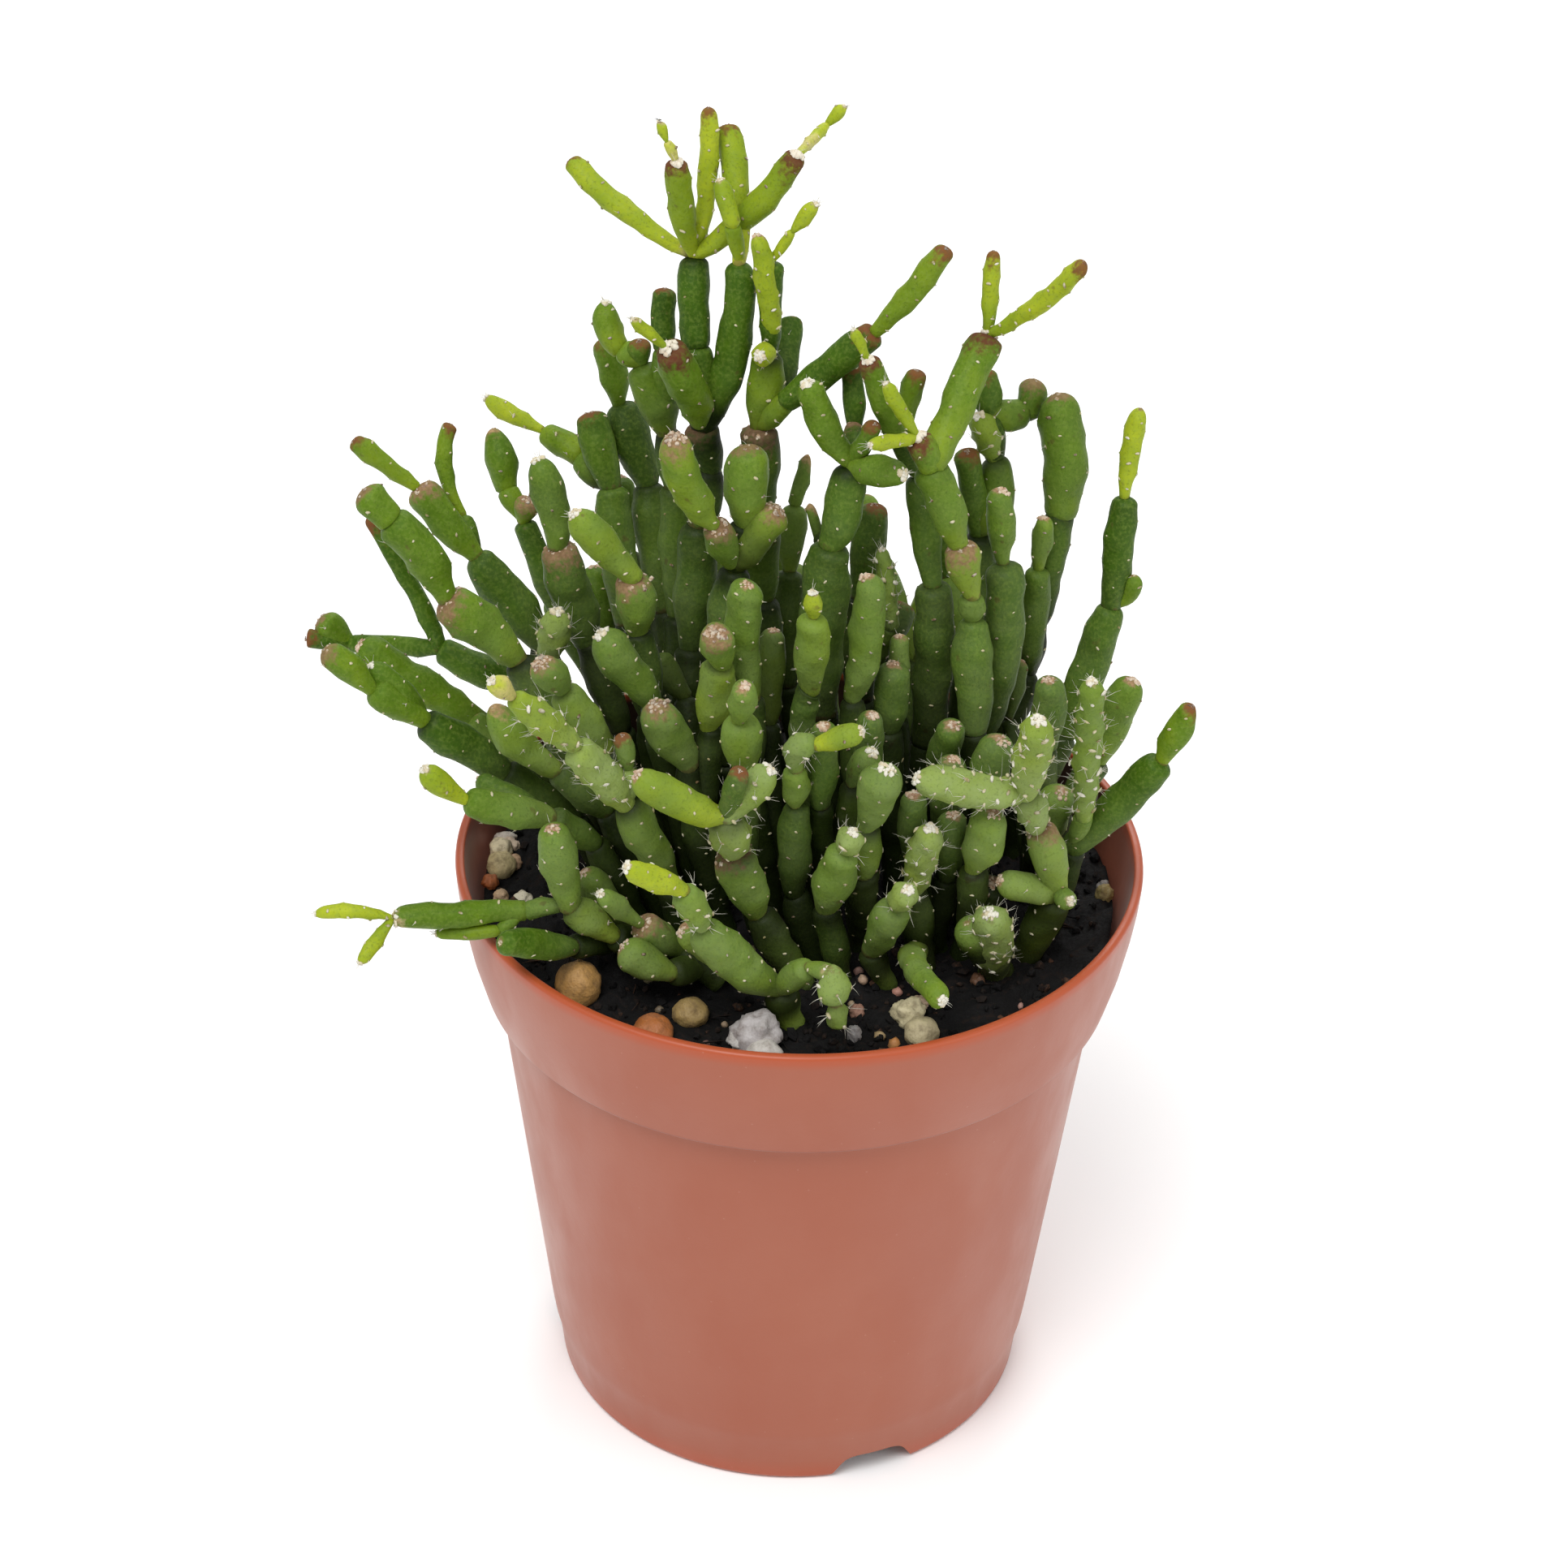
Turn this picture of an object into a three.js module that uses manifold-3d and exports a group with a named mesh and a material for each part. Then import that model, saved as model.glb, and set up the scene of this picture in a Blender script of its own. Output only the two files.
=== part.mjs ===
// Mistletoe cactus in a terracotta-coloured plastic nursery pot. Millimetres, +Z up.
// The origin is on the pot's axis at its underside; -Y is the front of the plant.
import * as THREE from 'three';
import { mergeVertices } from 'three/addons/utils/BufferGeometryUtils.js';
import Module from 'manifold-3d';

const wasm = await Module();
wasm.setup();

// Pot: a 5.5 cm nursery pot with a collar over a tapered body.
const potHeight = 50.3;
const rimRadius = 27.6;
const collarFoot = { radius: 25.7, height: 39.8 };
const bodyTop = { radius: 24.5, height: 39.3 };
const bodyBend = { radius: 20.4, height: 5.3 };
const baseRadius = 19.6;
const ledgeHeight = 38.9;
const wallThickness = 0.75;
const floorThickness = 1.0;
const edgeRound = 0.45;
const potSides = 36;

// Drain notches at the foot of the wall.
const notchCount = 3;
const firstNotchAngle = -68.2;
const notchWidth = 7.4;
const notchHeight = 2.2;
const notchSlant = 1.3;
const notchReach = 3.6;

// Soil: fills the pot up to 4 mm below the rim, with a low mound and prills on top.
const gap = 0.3;
const soilLevel = 46.2;
const soilMound = 0.5;
const soilRings = 5;
const soilSides = 24;
const holeSides = 5;
const prills = [
  { x: -17.0, y: -14.6, radius: 1.8 },
  { x: -11.0, y: -20.0, radius: 1.5 },
  { x: -8.2, y: -17.6, radius: 1.3 },
  { x: -2.4, y: -22.6, radius: 1.5 },
  { x: 9.6, y: -19.4, radius: 1.4 },
  { x: -24.2, y: 2.2, radius: 1.2 },
];

// Segment shape, as shares of its length and girth: a pinched foot, a belly, a waist, a tip.
const pinchShare = 0.7;
const bellyShare = 0.62;
const waistShare = 0.8;
const tipLength = 0.4;
const tipWidth = 0.86;
const fatGirth = 3.0;

// A stem's foot: a peg in the soil, and how much of the lowest stretch counts as its neck.
const pegShare = 0.8;
const pegDepth = 3.2;
const neckShare = 0.3;

// How stems spread from front to back, and how they are kept clear of one another.
const fanShare = 0.024;
const fanMiddle = -2;
const swayShare = 0.4;
const wander = 0.3;
const stemGap = 0.42;
const beadStep = 1.3;
const settleRounds = 160;
const sidePush = 0.4;
const sightPush = 0.5;

// Joints are laid out on an upright board that leans back, square to a line of sight from
// the front and above. Across and up are read on the board, back is the distance in +Y.
const sight = { distance: 322.6, pitch: 33.76, roll: 1.22, aim: new THREE.Vector3(-1.36, 0, 56.5) };

// Every stem: its name, its foot on the soil [x, y, girth] and its joints, lowest first:
// [grows from, across, up, back, girth below, look, and the middle of a curved stretch].
// Joint 0 is the foot. "through" keeps its girth where others narrow.
const stems = [
  ["crown", [-5.5, 6, 2.4], [
    [0, -7.9, 4, 6.5, 2.6, "old"], [1, -7.5, 11, 7, 2.9, "old"], [2, -6.7, 20.8, 7, 3.2, "old"],
    [3, -5.85, 25.2, 6.5, 2.9, "old"], [4, -6.2, 28.4, 5.5, 2.7, "old cork"],
    [5, -7.1, 35, 5.5, 2.7, "old through"], [6, -7.2, 42, 6, 2.55, "old"],
    [7, -6.0, 53.8, 7, 1.5, "young brown", -6.15, 47],
    [7, -17.1, 49.6, 4, 1.8, "fresh brown", -12.4, 45.4],
    [7, -8.5, 49.4, 5, 2.1, "fresh ring", -8.1, 45.6], [10, -9.35, 51.1, 5, 0.8, "straw"],
    [11, -9.95, 52.8, 5, 0.8, "young wool"], [7, 1.1, 50, -2, 2.1, "fresh ring", -2.9, 45.2],
    [13, 3.4, 52.4, 3.5, 0.9, "straw"], [14, 4.9, 53.9, 3.2, 1.0, "young wool"],
    [5, -3.2, 41.3, 9.5, 2.7, "old", -3.8, 34.0], [16, -4.6, 52.4, 14.5, 2.1, "fresh brown", -3.55, 47],
    [16, -4.1, 44.5, 7, 1.4, "fresh through"], [18, -5.1, 48.1, 6.5, 1.6, "fresh wool"],
    [5, -9.3, 34.6, 3.5, 3.1, "green ring", -7.3, 31.2], [20, -12.1, 37, 3, 1.0, "young wool"]]],
  ["crown_right", [-1.0, 5, 2.6], [
    [0, -1.9, 6, 6, 2.8, "old"], [1, -1.7, 15, 6, 3.4, "old"], [2, -1.9, 22.2, 5.5, 3.1, "old"],
    [3, -2.2, 28.6, 5, 3.2, "old cork"], [4, -1.5, 34.6, 4.4, 3.0, "green"],
    [5, -2.2, 43.7, 3, 1.8, "young pink through", -1.4, 38.7], [5, -1.9, 34, 1.2, 2.0, "young wool"],
    [5, -1.1, 41.5, 6.2, 1.9, "old"], [8, 0.74, 44.0, 5.8, 0.9, "young"],
    [9, 2.6, 46.2, 5.4, 1.3, "young wool"], [4, 0.45, 37.0, 7.5, 2.1, "old brown", -0.2, 33],
    [4, 0.4, 30.4, 4.8, 1.9, "green through"], [12, 7.3, 35.8, 4, 2.5, "old brown"],
    [13, 12.9, 42.6, 3.2, 1.9, "green brown", 10.25, 39.05]]],
  ["knob", [-3.4, 0.5, 2.6], [
    [0, -4.6, 2, 1, 2.6, "old"], [1, -4.9, 9, 1.4, 3.0, "old"], [2, -4.0, 17.3, 1.5, 3.2, "old"],
    [3, -3.1, 20.8, 1.8, 2.4, "old"], [4, -2.85, 26.8, 1.5, 3.5, "green tan"],
    [3, -0.5, 22, -0.8, 3.0, "green cork"], [3, -5.6, 20.7, 0.8, 2.5, "green cork"],
    [7, -8.9, 27.7, -0.5, 2.9, "green cork", -7.5, 23.3]]],
  ["middle", [-2.2, -3.4, 2.4], [
    [0, -2.8, 0.5, -3, 2.2, "old"], [1, -2.6, 7, -2.6, 2.4, "old"],
    [2, -2.8, 15.9, -3.2, 2.9, "green pink", -3.3, 12.2],
    [0, -1.3, 5, -1.2, 2.2, "old"], [4, -0.9, 12.4, -1, 2.3, "green pink"]]],
  ["scarred", [-6.2, -5.4, 2.4], [
    [0, -6.3, -2, -4.8, 2.2, "old"], [1, -5.9, 4.7, -4.6, 2.2, "old"], [2, -5.0, 9.7, -5, 3.0, "green"],
    [3, -5.4, 12.1, -6.6, 2.8, "green cork"],
    [0, -7.7, 1.6, -6.4, 2.3, "old", -7, -4], [5, -10.6, 6.4, -7.5, 3.3, "green cork"]]],
  ["upper_left", [-8.0, 7.5, 2.4], [
    [0, -8.0, 4, 8, 2.4, "old"], [1, -8.4, 13.5, 9, 2.7, "old"], [2, -8.8, 23.8, 9, 2.6, "old"],
    [3, -9.3, 28.2, 8.5, 2.4, "old"], [4, -11.3, 33.4, 8, 3.1, "green"],
    [5, -11.5, 35.2, 7.6, 1.9, "green brown"],
    [5, -13.1, 34.7, 7.4, 1.9, "green through"], [7, -14.1, 38.4, 7, 2.2, "green wool", -14.0, 36.2],
    [4, -9.7, 34.6, 10, 1.8, "old"], [9, -9.5, 39.4, 10.5, 2.0, "old brown"]]],
  ["far_left_arm", [-10.6, 10.5, 2.4], [
    [0, -9.6, 4.5, 10.5, 2.2, "old"], [1, -12.5, 13, 11.5, 2.8, "old"], [2, -13.55, 23.8, 12.4, 3.0, "old"],
    [3, -15.0, 29.6, 12.6, 2.7, "old brown"], [3, -16.2, 26.1, 12.2, 2.4, "green through"],
    [5, -19.2, 28.1, 12, 2.1, "green"], [6, -23.75, 30.8, 12, 1.4, "young wool", -21.5, 29.3]]],
  ["left_shoulder", [-7.4, 11.5, 2.4], [
    [0, -7.6, 5.5, 12, 2.4, "old"], [1, -9.6, 14, 12.5, 2.8, "old"], [2, -11.2, 24.0, 13, 3.0, "old"],
    [3, -13.6, 30.2, 12.5, 3.3, "old"], [4, -14.1, 35.4, 12, 2.4, "green brown"]]],
  ["left_cork", [-9.5, 0.5, 2.4], [
    [0, -10.0, -1.5, 0.5, 2.4, "old"], [1, -10.9, 5.5, 0.3, 2.6, "old"], [2, -11.6, 12.3, 0, 2.7, "old"],
    [3, -12.0, 16.5, -0.6, 3.3, "green cork"], [4, -16.8, 21.5, -1.5, 2.8, "green wool"]]],
  ["left_blunt", [-8.0, -2.2, 2.6], [
    [0, -8.7, -2, -3, 2.4, "old"], [1, -10.4, 6.4, -3.2, 2.7, "old"],
    [2, -14.7, 12.0, -4, 3.2, "green wool"],
    [0, -7.3, 0, 1, 2.2, "old"], [4, -7.9, 7, 1.6, 2.3, "old"], [5, -10.2, 10.2, 1.6, 2.1, "green"],
    [6, -12.4, 12.0, 1.4, 1.2, "green cork"]]],
  ["left_fork", [-11.5, 4.0, 2.6], [
    [0, -14.2, 1.5, 4, 2.4, "old"], [1, -19.1, 11.3, 4, 2.7, "old", -17.8, 6.5],
    [2, -24.6, 18.2, 4, 3.2, "old"],
    [3, -29.2, 23.6, 3.5, 2.6, "green cork"], [4, -34.3, 27.3, 3, 1.6, "green brown"],
    [3, -25.5, 21.3, 4.6, 1.6, "old"], [6, -26.4, 28.6, 4.6, 1.3, "green brown", -27.0, 25.3]]],
  ["left_tan", [-13.0, -0.5, 2.6], [
    [0, -15.0, -1, -0.8, 2.4, "old"], [1, -21.1, 10.0, -1, 3.0, "old", -18, 4.4],
    [2, -26.85, 14.9, -1.5, 3.7, "green cork"],
    [3, -31.4, 21.2, -2, 3.2, "green through", -28.7, 18.2], [4, -33.6, 23.3, -2, 2.6, "green tan"]]],
  ["left_back", [-12.5, 9.0, 2.2], [
    [0, -14.6, 2.2, 9, 2.0, "old"], [1, -21.0, 7.5, 9, 2.4, "old"], [2, -27.5, 10.8, 9, 2.6, "old"],
    [3, -33.0, 21.3, 9, 1.5, "old brown", -28.9, 14.4], [3, -34.5, 11.2, 8, 1.6, "old"],
    [5, -37.0, 13.1, 7, 2.3, "green tan"], [5, -38.1, 11.6, 7.6, 1.5, "old brown"]]],
  ["left_long", [-12.6, 2.2, 2.6], [
    [0, -15.6, -1.6, 1.5, 2.2, "old"], [1, -24.0, 5.1, 0.8, 2.8, "old", -19.6, 1.6],
    [2, -33.8, 11.1, 0, 3.0, "green pink", -28.9, 7.8],
    [1, -20.4, 1.5, -1.5, 2.4, "old"], [4, -24.9, 5.4, -2.2, 2.0, "green pink"]]],
  ["left_low", [-14.0, -3.5, 2.6], [
    [0, -16.6, -2.8, -3.6, 2.2, "old"], [1, -22.4, 0.9, -4, 2.5, "old"], [2, -28.7, 5.0, -4.3, 3.0, "old"],
    [3, -32.8, 7.6, -4.6, 2.5, "green"], [4, -36.5, 10.8, -5, 2.3, "green tan"],
    [3, -33.0, 9.4, -6, 2.5, "green wool"]]],
  ["left_tapered", [-11.0, -4.4, 2.4], [
    [0, -14.0, -1.8, -4.8, 2.4, "old"], [1, -18.2, 1.2, -5.2, 2.7, "old"],
    [2, -23.2, 6.2, -5.5, 2.9, "green taper", -21.2, 3.4]]],
  ["left_bristly", [-8.6, -8.6, 2.8], [
    [0, -9.0, -7.8, -9.2, 2.8, "old"], [1, -12.6, -1.5, -9.5, 3.1, "green"],
    [2, -16.6, 3.1, -10, 3.0, "hairy"],
    [3, -21.6, 6.9, -10.6, 2.4, "hairy"], [4, -23.3, 8.3, -11.4, 1.7, "straw wool"],
    [2, -12.4, 1.3, -9.8, 1.8, "hairy"], [6, -12.9, 3.9, -10, 1.6, "green brown"]]],
  ["left_scar", [-10.2, -1.8, 2.4], [
    [0, -11.4, -2.2, -3.6, 2.4, "old"], [1, -14.3, 2.6, -5.2, 2.6, "old"],
    [2, -17.6, 7.5, -6.2, 2.8, "green"],
    [3, -19.4, 9.7, -8, 2.6, "green cork"],
    [0, -13.2, 3.2, -0.4, 2.2, "old"], [5, -18.8, 9.7, -1.6, 2.2, "green", -16.8, 6.4],
    [6, -18.0, 13.8, -2.6, 2.3, "hairy wool"]]],
  ["left_tall", [-12.2, 7.0, 2.4], [
    [0, -13.0, 4.4, 6.5, 2.3, "old"], [1, -15.7, 11.6, 5.4, 2.6, "old"],
    [2, -18.1, 18.9, 4, 3.4, "old cork"],
    [3, -19.7, 25.9, 3, 2.7, "green wool", -18.4, 22.1]]],
  ["left_club", [-14.2, 11.5, 2.0], [
    [0, -13.9, 6.4, 11, 1.8, "old"], [1, -17.7, 13.2, 10, 1.8, "old"], [2, -20.7, 20.9, 9, 2.1, "old"],
    [3, -20.5, 22.7, 8.6, 1.8, "green cork"], [3, -22.05, 23.6, 8.6, 1.8, "green through"],
    [5, -23.1, 28.3, 8.6, 2.5, "green taper"]]],
  ["left_reach", [-11.4, -11.2, 2.4], [
    [0, -14.0, -12.2, -11.8, 2.4, "old"], [1, -17.2, -9.8, -12.4, 2.6, "green"],
    [2, -18.5, -3.3, -11.6, 3.1, "green pink"],
    [2, -20.6, -10.2, -13, 1.5, "green through"], [4, -31.1, -10.7, -14, 2.1, "green wool"],
    [5, -37.3, -10.4, -14, 1.2, "young wool", -34.2, -10.1], [5, -33.8, -14.3, -14.8, 1.1, "young wool"],
    [4, -22.4, -12.0, -15, 1.0, "green through"], [8, -27.7, -11.9, -15.6, 1.2, "green wool"]]],
  ["left_hand", [-12.6, -6.8, 2.4], [
    [0, -15.2, -4.8, -8, 2.2, "old"], [1, -18.6, -2.7, -8.8, 2.4, "old"],
    [2, -25.4, -1.3, -9.6, 2.7, "green"],
    [3, -28.6, 1.3, -10.4, 2.0, "fresh wool", -27.15, -0.15], [2, -24.3, 0.6, -6.8, 1.9, "old pink"]]],
  ["left_stubs", [-13.0, -9.2, 2.2], [
    [0, -16.2, -12.4, -9.6, 2.2, "old"], [1, -21.9, -11.9, -10.2, 2.3, "old"],
    [0, -15.6, -6.6, -9.8, 2.6, "green pink"]]],
  ["front_left", [-7.6, -12.6, 2.8], [
    [0, -8.6, -13.2, -12.6, 2.6, "green"], [1, -11.4, -11.1, -13.4, 2.8, "green cork"],
    [2, -14.7, -8.7, -14.2, 1.7, "green wool"],
    [0, -9.0, -14.9, -15, 2.3, "green"], [4, -13.1, -13.1, -16.4, 2.9, "green pink"]]],
  ["front", [-0.6, -18.0, 2.4], [
    [0, -0.4, -16.3, -18.6, 2.6, "green"], [1, -6.5, -11.3, -18.6, 3.4, "green", -3.9, -14.1],
    [2, -7.9, -8.5, -19, 2.4, "hairy"], [3, -12.6, -6.6, -19.6, 2.0, "young wool"],
    [1, -4.4, -14.2, -16.6, 2.0, "green through"], [5, -8.1, -11.4, -16, 2.4, "green pink"],
    [1, 1.9, -14.5, -18.8, 2.2, "green"], [7, 3.8, -15, -19.6, 1.6, "green wool"],
    [8, 4.1, -17.4, -19.4, 2.6, "hairy"], [9, 4.2, -19.3, -18.9, 1.6, "hairy"]]],
  ["front_branching", [-0.4, -12.8, 2.4], [
    [0, -2.2, -10.2, -13, 2.8, "green"], [1, -4.1, -5.4, -13.2, 3.5, "green cork"],
    [2, -4.6, -2.6, -13.5, 3.3, "hairy"],
    [3, -11.7, 0.8, -14, 2.9, "fresh pink", -8.0, -1.6], [3, -1.0, 1.3, -14.6, 2.6, "hairy wool"],
    [3, -3.5, 1.1, -12.6, 1.8, "old brown"]]],
  ["front_red_tip", [-2.8, -8.2, 2.2], [
    [0, -3.2, -6, -8.4, 2.2, "old"], [1, -3.0, 1.2, -8.6, 2.3, "old"], [2, -3.6, 5.2, -9.2, 3.2, "green"],
    [3, -3.1, 7.8, -10.4, 2.2, "green pink"]]],
  ["front_hook", [0.9, -9.6, 2.4], [
    [0, 0.8, -8.5, -9.6, 2.6, "old"], [1, 0.95, -1.6, -9.8, 2.7, "old"], [2, 1.0, 1.3, -10, 2.1, "green"],
    [3, 2.7, 3.2, -10.3, 2.1, "hairy", 1.2, 2.9], [4, 6.2, 4.3, -10.8, 2.0, "fresh wool"]]],
  ["front_round", [4.9, -7.6, 2.6], [
    [0, 5.0, -4.5, -7, 2.2, "old"], [1, 5.4, 0.2, -7.2, 2.2, "green"],
    [2, 7.0, 2.8, -7.8, 2.3, "green wool"],
    [0, 6.3, -7, -9.9, 2.6, "green"], [4, 6.6, -3.2, -10.2, 2.6, "green"],
    [5, 8.2, 1.3, -10.8, 3.3, "green wool"]]],
  ["front_bright_tip", [3.3, -12.6, 2.4], [
    [0, 3.3, -9.7, -12.8, 2.3, "old"], [1, 4.8, -5.2, -13.2, 3.2, "green"],
    [2, 5.5, -3.8, -13.9, 2.0, "hairy wool"]]],
  ["front_hairy", [9.6, -10.6, 2.4], [
    [0, 10.3, -8.3, -10.8, 2.6, "green"], [1, 11.6, -3.4, -11.2, 2.4, "hairy wool"],
    [0, 12.7, -17.3, -18.8, 2.1, "green wool", 10.3, -15.0]]],
  ["front_lime_tip", [6.6, -12.8, 2.2], [
    [0, 6.9, -13.2, -13.4, 2.1, "green"], [1, 9.0, -9.7, -14.6, 3.0, "green"],
    [2, 9.8, -8.3, -15.6, 2.1, "hairy wool"]]],
  ["shade_pair", [10.8, -7.4, 2.4], [
    [0, 13.0, -7.3, -8.6, 2.4, "old"], [1, 13.5, -2.5, -9.2, 2.7, "old pink"],
    [0, 10.0, -5.5, -6.8, 2.3, "old"], [3, 10.3, -1, -7.2, 2.3, "old pink"]]],
  ["shade_right", [13.4, -4.2, 2.6], [
    [0, 12.7, -3, -5.2, 2.6, "old"], [1, 13.4, 2.1, -5.6, 2.8, "old pink"],
    [0, 15.7, -2.0, -3.2, 2.8, "old"], [3, 17.0, 3.7, -3.4, 3.2, "old pink"]]],
  ["right_oval", [13.6, -8.6, 2.4], [
    [0, 15.5, -6.8, -10.8, 2.4, "green"], [1, 16.7, -2.0, -11.4, 3.2, "green pink"],
    [0, 17.0, -7.6, -9.4, 2.8, "old pink"]]],
  ["right_bulb", [15.3, -11.2, 2.2], [
    [0, 16.4, -10.2, -14.6, 3.3, "hairy wool"], [0, 14.6, -11.2, -12.6, 2.9, "green"]]],
  ["right_hairy", [18.4, -8.4, 2.6], [
    [0, 21.3, -8.9, -9.4, 3.1, "green"], [1, 20.2, -3.5, -10, 2.9, "green cork", 21.0, -6],
    [2, 19.0, -0.9, -10.3, 2.4, "hairy"],
    [3, 10.4, 0.4, -11.6, 2.9, "hairy wool", 14.9, -0.7], [3, 20.3, 5.1, -10.8, 2.9, "hairy wool"],
    [1, 16.3, -7.5, -12.2, 2.4, "green pink", 18.8, -8.2], [1, 22.8, -9.3, -11.2, 1.6, "green wool"]]],
  ["right_low", [20.0, -5.4, 2.4], [
    [0, 22.6, -4.6, -6, 2.4, "old"], [1, 30.0, 1.9, -6.5, 2.8, "old", 26.7, -1.2],
    [2, 32.4, 6.2, -6.5, 2.2, "green brown"],
    [1, 23.8, -2.4, -6.8, 1.5, "green through"], [4, 24.5, 8.2, -8, 2.1, "hairy wool"]]],
  ["right_stubs", [18.8, 0.4, 2.6], [
    [0, 22.2, -2.0, 0.4, 2.2, "old"], [1, 25.1, 2.0, 0.6, 2.2, "old"],
    [2, 27.6, 8.4, 0.6, 2.7, "green pink"],
    [0, 20.8, 3.2, 1.2, 2.4, "old"], [4, 21.2, 8.2, 0.8, 2.8, "old pink"],
    [0, 17.9, 5.2, 2.4, 1.4, "old"], [6, 18.9, 10.0, 2.4, 1.5, "green pink"],
    [0, 20.9, -5, -3.4, 2.2, "old"], [8, 22.2, -0.6, -3.8, 2.8, "green pink"]]],
  ["far_right", [17.4, 5.6, 2.4], [
    [0, 19.5, -0.5, 5, 2.4, "old"], [1, 22.4, 4.1, 5, 2.6, "old"], [2, 26.1, 14.3, 5, 2.9, "old"],
    [3, 27.1, 22.8, 5, 2.4, "old"], [4, 28.35, 29.9, 5, 1.6, "young", 27.5, 26.2],
    [3, 27.8, 16.6, 5.4, 1.4, "green", 27.45, 15.0]]],
  ["right_arch", [14.2, 8.0, 2.4], [
    [0, 17.0, 3, 7.4, 2.4, "old"], [1, 19.3, 9, 7.6, 2.6, "old"], [2, 20.2, 17.1, 5.6, 2.4, "old"],
    [3, 20.75, 21.2, 4.0, 1.6, "green pink"], [2, 20.0, 13, 9.2, 2.2, "old through"],
    [5, 21.8, 22.0, 9.6, 2.6, "old through"],
    [6, 21.1, 31.1, 9.6, 3.6, "green tan", 21.95, 26.7]]],
  ["right_column", [12.6, 3.4, 2.6], [
    [0, 15.4, 3.9, 2.8, 2.5, "old"], [1, 17.4, 17.6, 2, 3.3, "old", 17.3, 10.6],
    [2, 17.1, 23.4, 1.6, 2.3, "green pink"],
    [0, 12.8, -0.5, 0.4, 2.6, "old"], [4, 13.6, 4.8, 0, 2.6, "old pink"]]],
  ["right_crown", [11.4, 9.0, 2.6], [
    [0, 13.8, 5, 8.6, 2.4, "old"], [1, 15.6, 12, 8.2, 2.6, "old"], [2, 15.4, 20.0, 7.6, 2.8, "old"],
    [3, 16.7, 26.0, 6.6, 2.7, "green", 16.9, 22.8], [4, 15.4, 29.4, 4.8, 2.1, "hairy wool"],
    [4, 16.4, 29.4, 8, 2.1, "old"], [6, 15.9, 32.9, 8.2, 2.1, "old brown"],
    [6, 19.8, 29.3, 7.6, 2.5, "green through"],
    [8, 20.3, 31.9, 7.2, 2.2, "green tan"], [3, 14.6, 26.4, 7.2, 2.1, "old brown"]]],
  ["right_mast", [13.0, 0.2, 2.6], [
    [0, 14.2, 4.4, 0.6, 2.5, "old"], [1, 14.9, 13.2, 0.4, 3.2, "old"], [2, 14.9, 15.1, 0.2, 2.2, "green"],
    [3, 13.9, 19.1, -0.2, 2.8, "green cork"], [4, 11.6, 25.3, -0.6, 2.9, "green through"],
    [5, 10.5, 27.5, -0.9, 2.3, "green ring"], [6, 8.0, 31.9, -2.4, 1.2, "young wool"],
    [6, 6.8, 26.9, -3.4, 1.2, "young wool"], [5, 16.2, 35.7, 1, 2.8, "green ring", 13.8, 30.2],
    [9, 16.65, 42.4, 1, 1.3, "young brown"], [9, 23.9, 41.4, -0.2, 1.5, "young brown", 20.1, 38.0]]],
  ["right_inner", [9.6, 3.6, 2.6], [
    [0, 11.6, 3.4, 3.4, 2.8, "old"], [1, 11.8, 15.9, 3.2, 3.3, "old", 12.1, 10],
    [2, 10.6, 24.6, 3.4, 2.3, "old"],
    [3, 9.4, 28.5, 4, 1.8, "green through"], [4, 10.6, 32.9, 4, 1.8, "green brown"],
    [3, 8.9, 27.7, 2.4, 1.5, "old through"], [6, 6.7, 33.7, 2.4, 2.1, "green ring"],
    [7, 5.5, 36.2, 2.2, 0.9, "young wool"]]],
  ["right_centre", [3.2, 1.6, 2.6], [
    [0, 2.9, 6, 1.6, 2.8, "old"], [1, 3.7, 19.1, 1.6, 3.8, "old", 3.1, 13],
    [2, 5.3, 25.5, 1.8, 3.3, "old", 4.8, 22.2],
    [3, 1.9, 32.0, 0.8, 2.4, "green wool", 3.25, 28.5], [3, 9.7, 24.9, -0.2, 2.5, "green wool", 7.5, 24.9],
    [3, 5.6, 28.5, 4.2, 1.6, "old cork"], [6, 5.3, 33.4, 4.6, 1.8, "old brown"],
    [3, 7.3, 28.6, 1.4, 1.5, "green brown"],
    [2, 2.8, 19.4, 3.4, 1.3, "green through"], [9, 2.05, 22.3, 3.4, 0.9, "green taper"]]],
  ["back_centre", [6.4, 7.6, 2.6], [
    [0, 6.0, 7, 7.4, 3.2, "old"], [1, 6.3, 15, 7, 3.3, "old"], [2, 7.15, 22.2, 6.8, 2.9, "old brown"],
    [1, 8.5, 12.5, 5.6, 1.4, "green through"], [4, 7.8, 18.7, 5.2, 1.5, "hairy wool"],
    [1, 9.6, 14.3, 8.4, 2.6, "old brown"]]],
  ["right_pink", [7.8, -0.6, 2.4], [
    [0, 8.3, 4.5, -0.6, 2.4, "old"], [1, 8.8, 9.5, -0.9, 2.8, "old pink"], [0, 9.2, 5.4, 1.4, 1.9, "old"],
    [3, 9.1, 11.8, 1.4, 1.7, "green pink"]]],
  ["right_pale", [5.0, -2.0, 2.6], [
    [0, 5.4, 6.8, -2.2, 2.3, "old"], [1, 6.8, 16.6, -2.4, 2.8, "green pink", 6.5, 11],
    [0, 6.5, 0.4, -3.4, 2.3, "old"], [3, 6.8, 5.4, -3.8, 2.5, "old pink"]]],
  ["lime_tip", [1.8, -3.6, 2.4], [
    [0, 2.1, 7.5, -4, 2.2, "old", 1.6, 2], [1, 2.3, 13.3, -4.4, 2.7, "green"],
    [2, 2.3, 15.3, -4.8, 1.6, "young wool"],
    [0, 3.1, -1.5, -5.4, 2.3, "old"], [4, 3.2, 4.7, -5.8, 2.4, "old pink"]]],
  ["back_twig", [1.2, 9.6, 2.2], [
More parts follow.
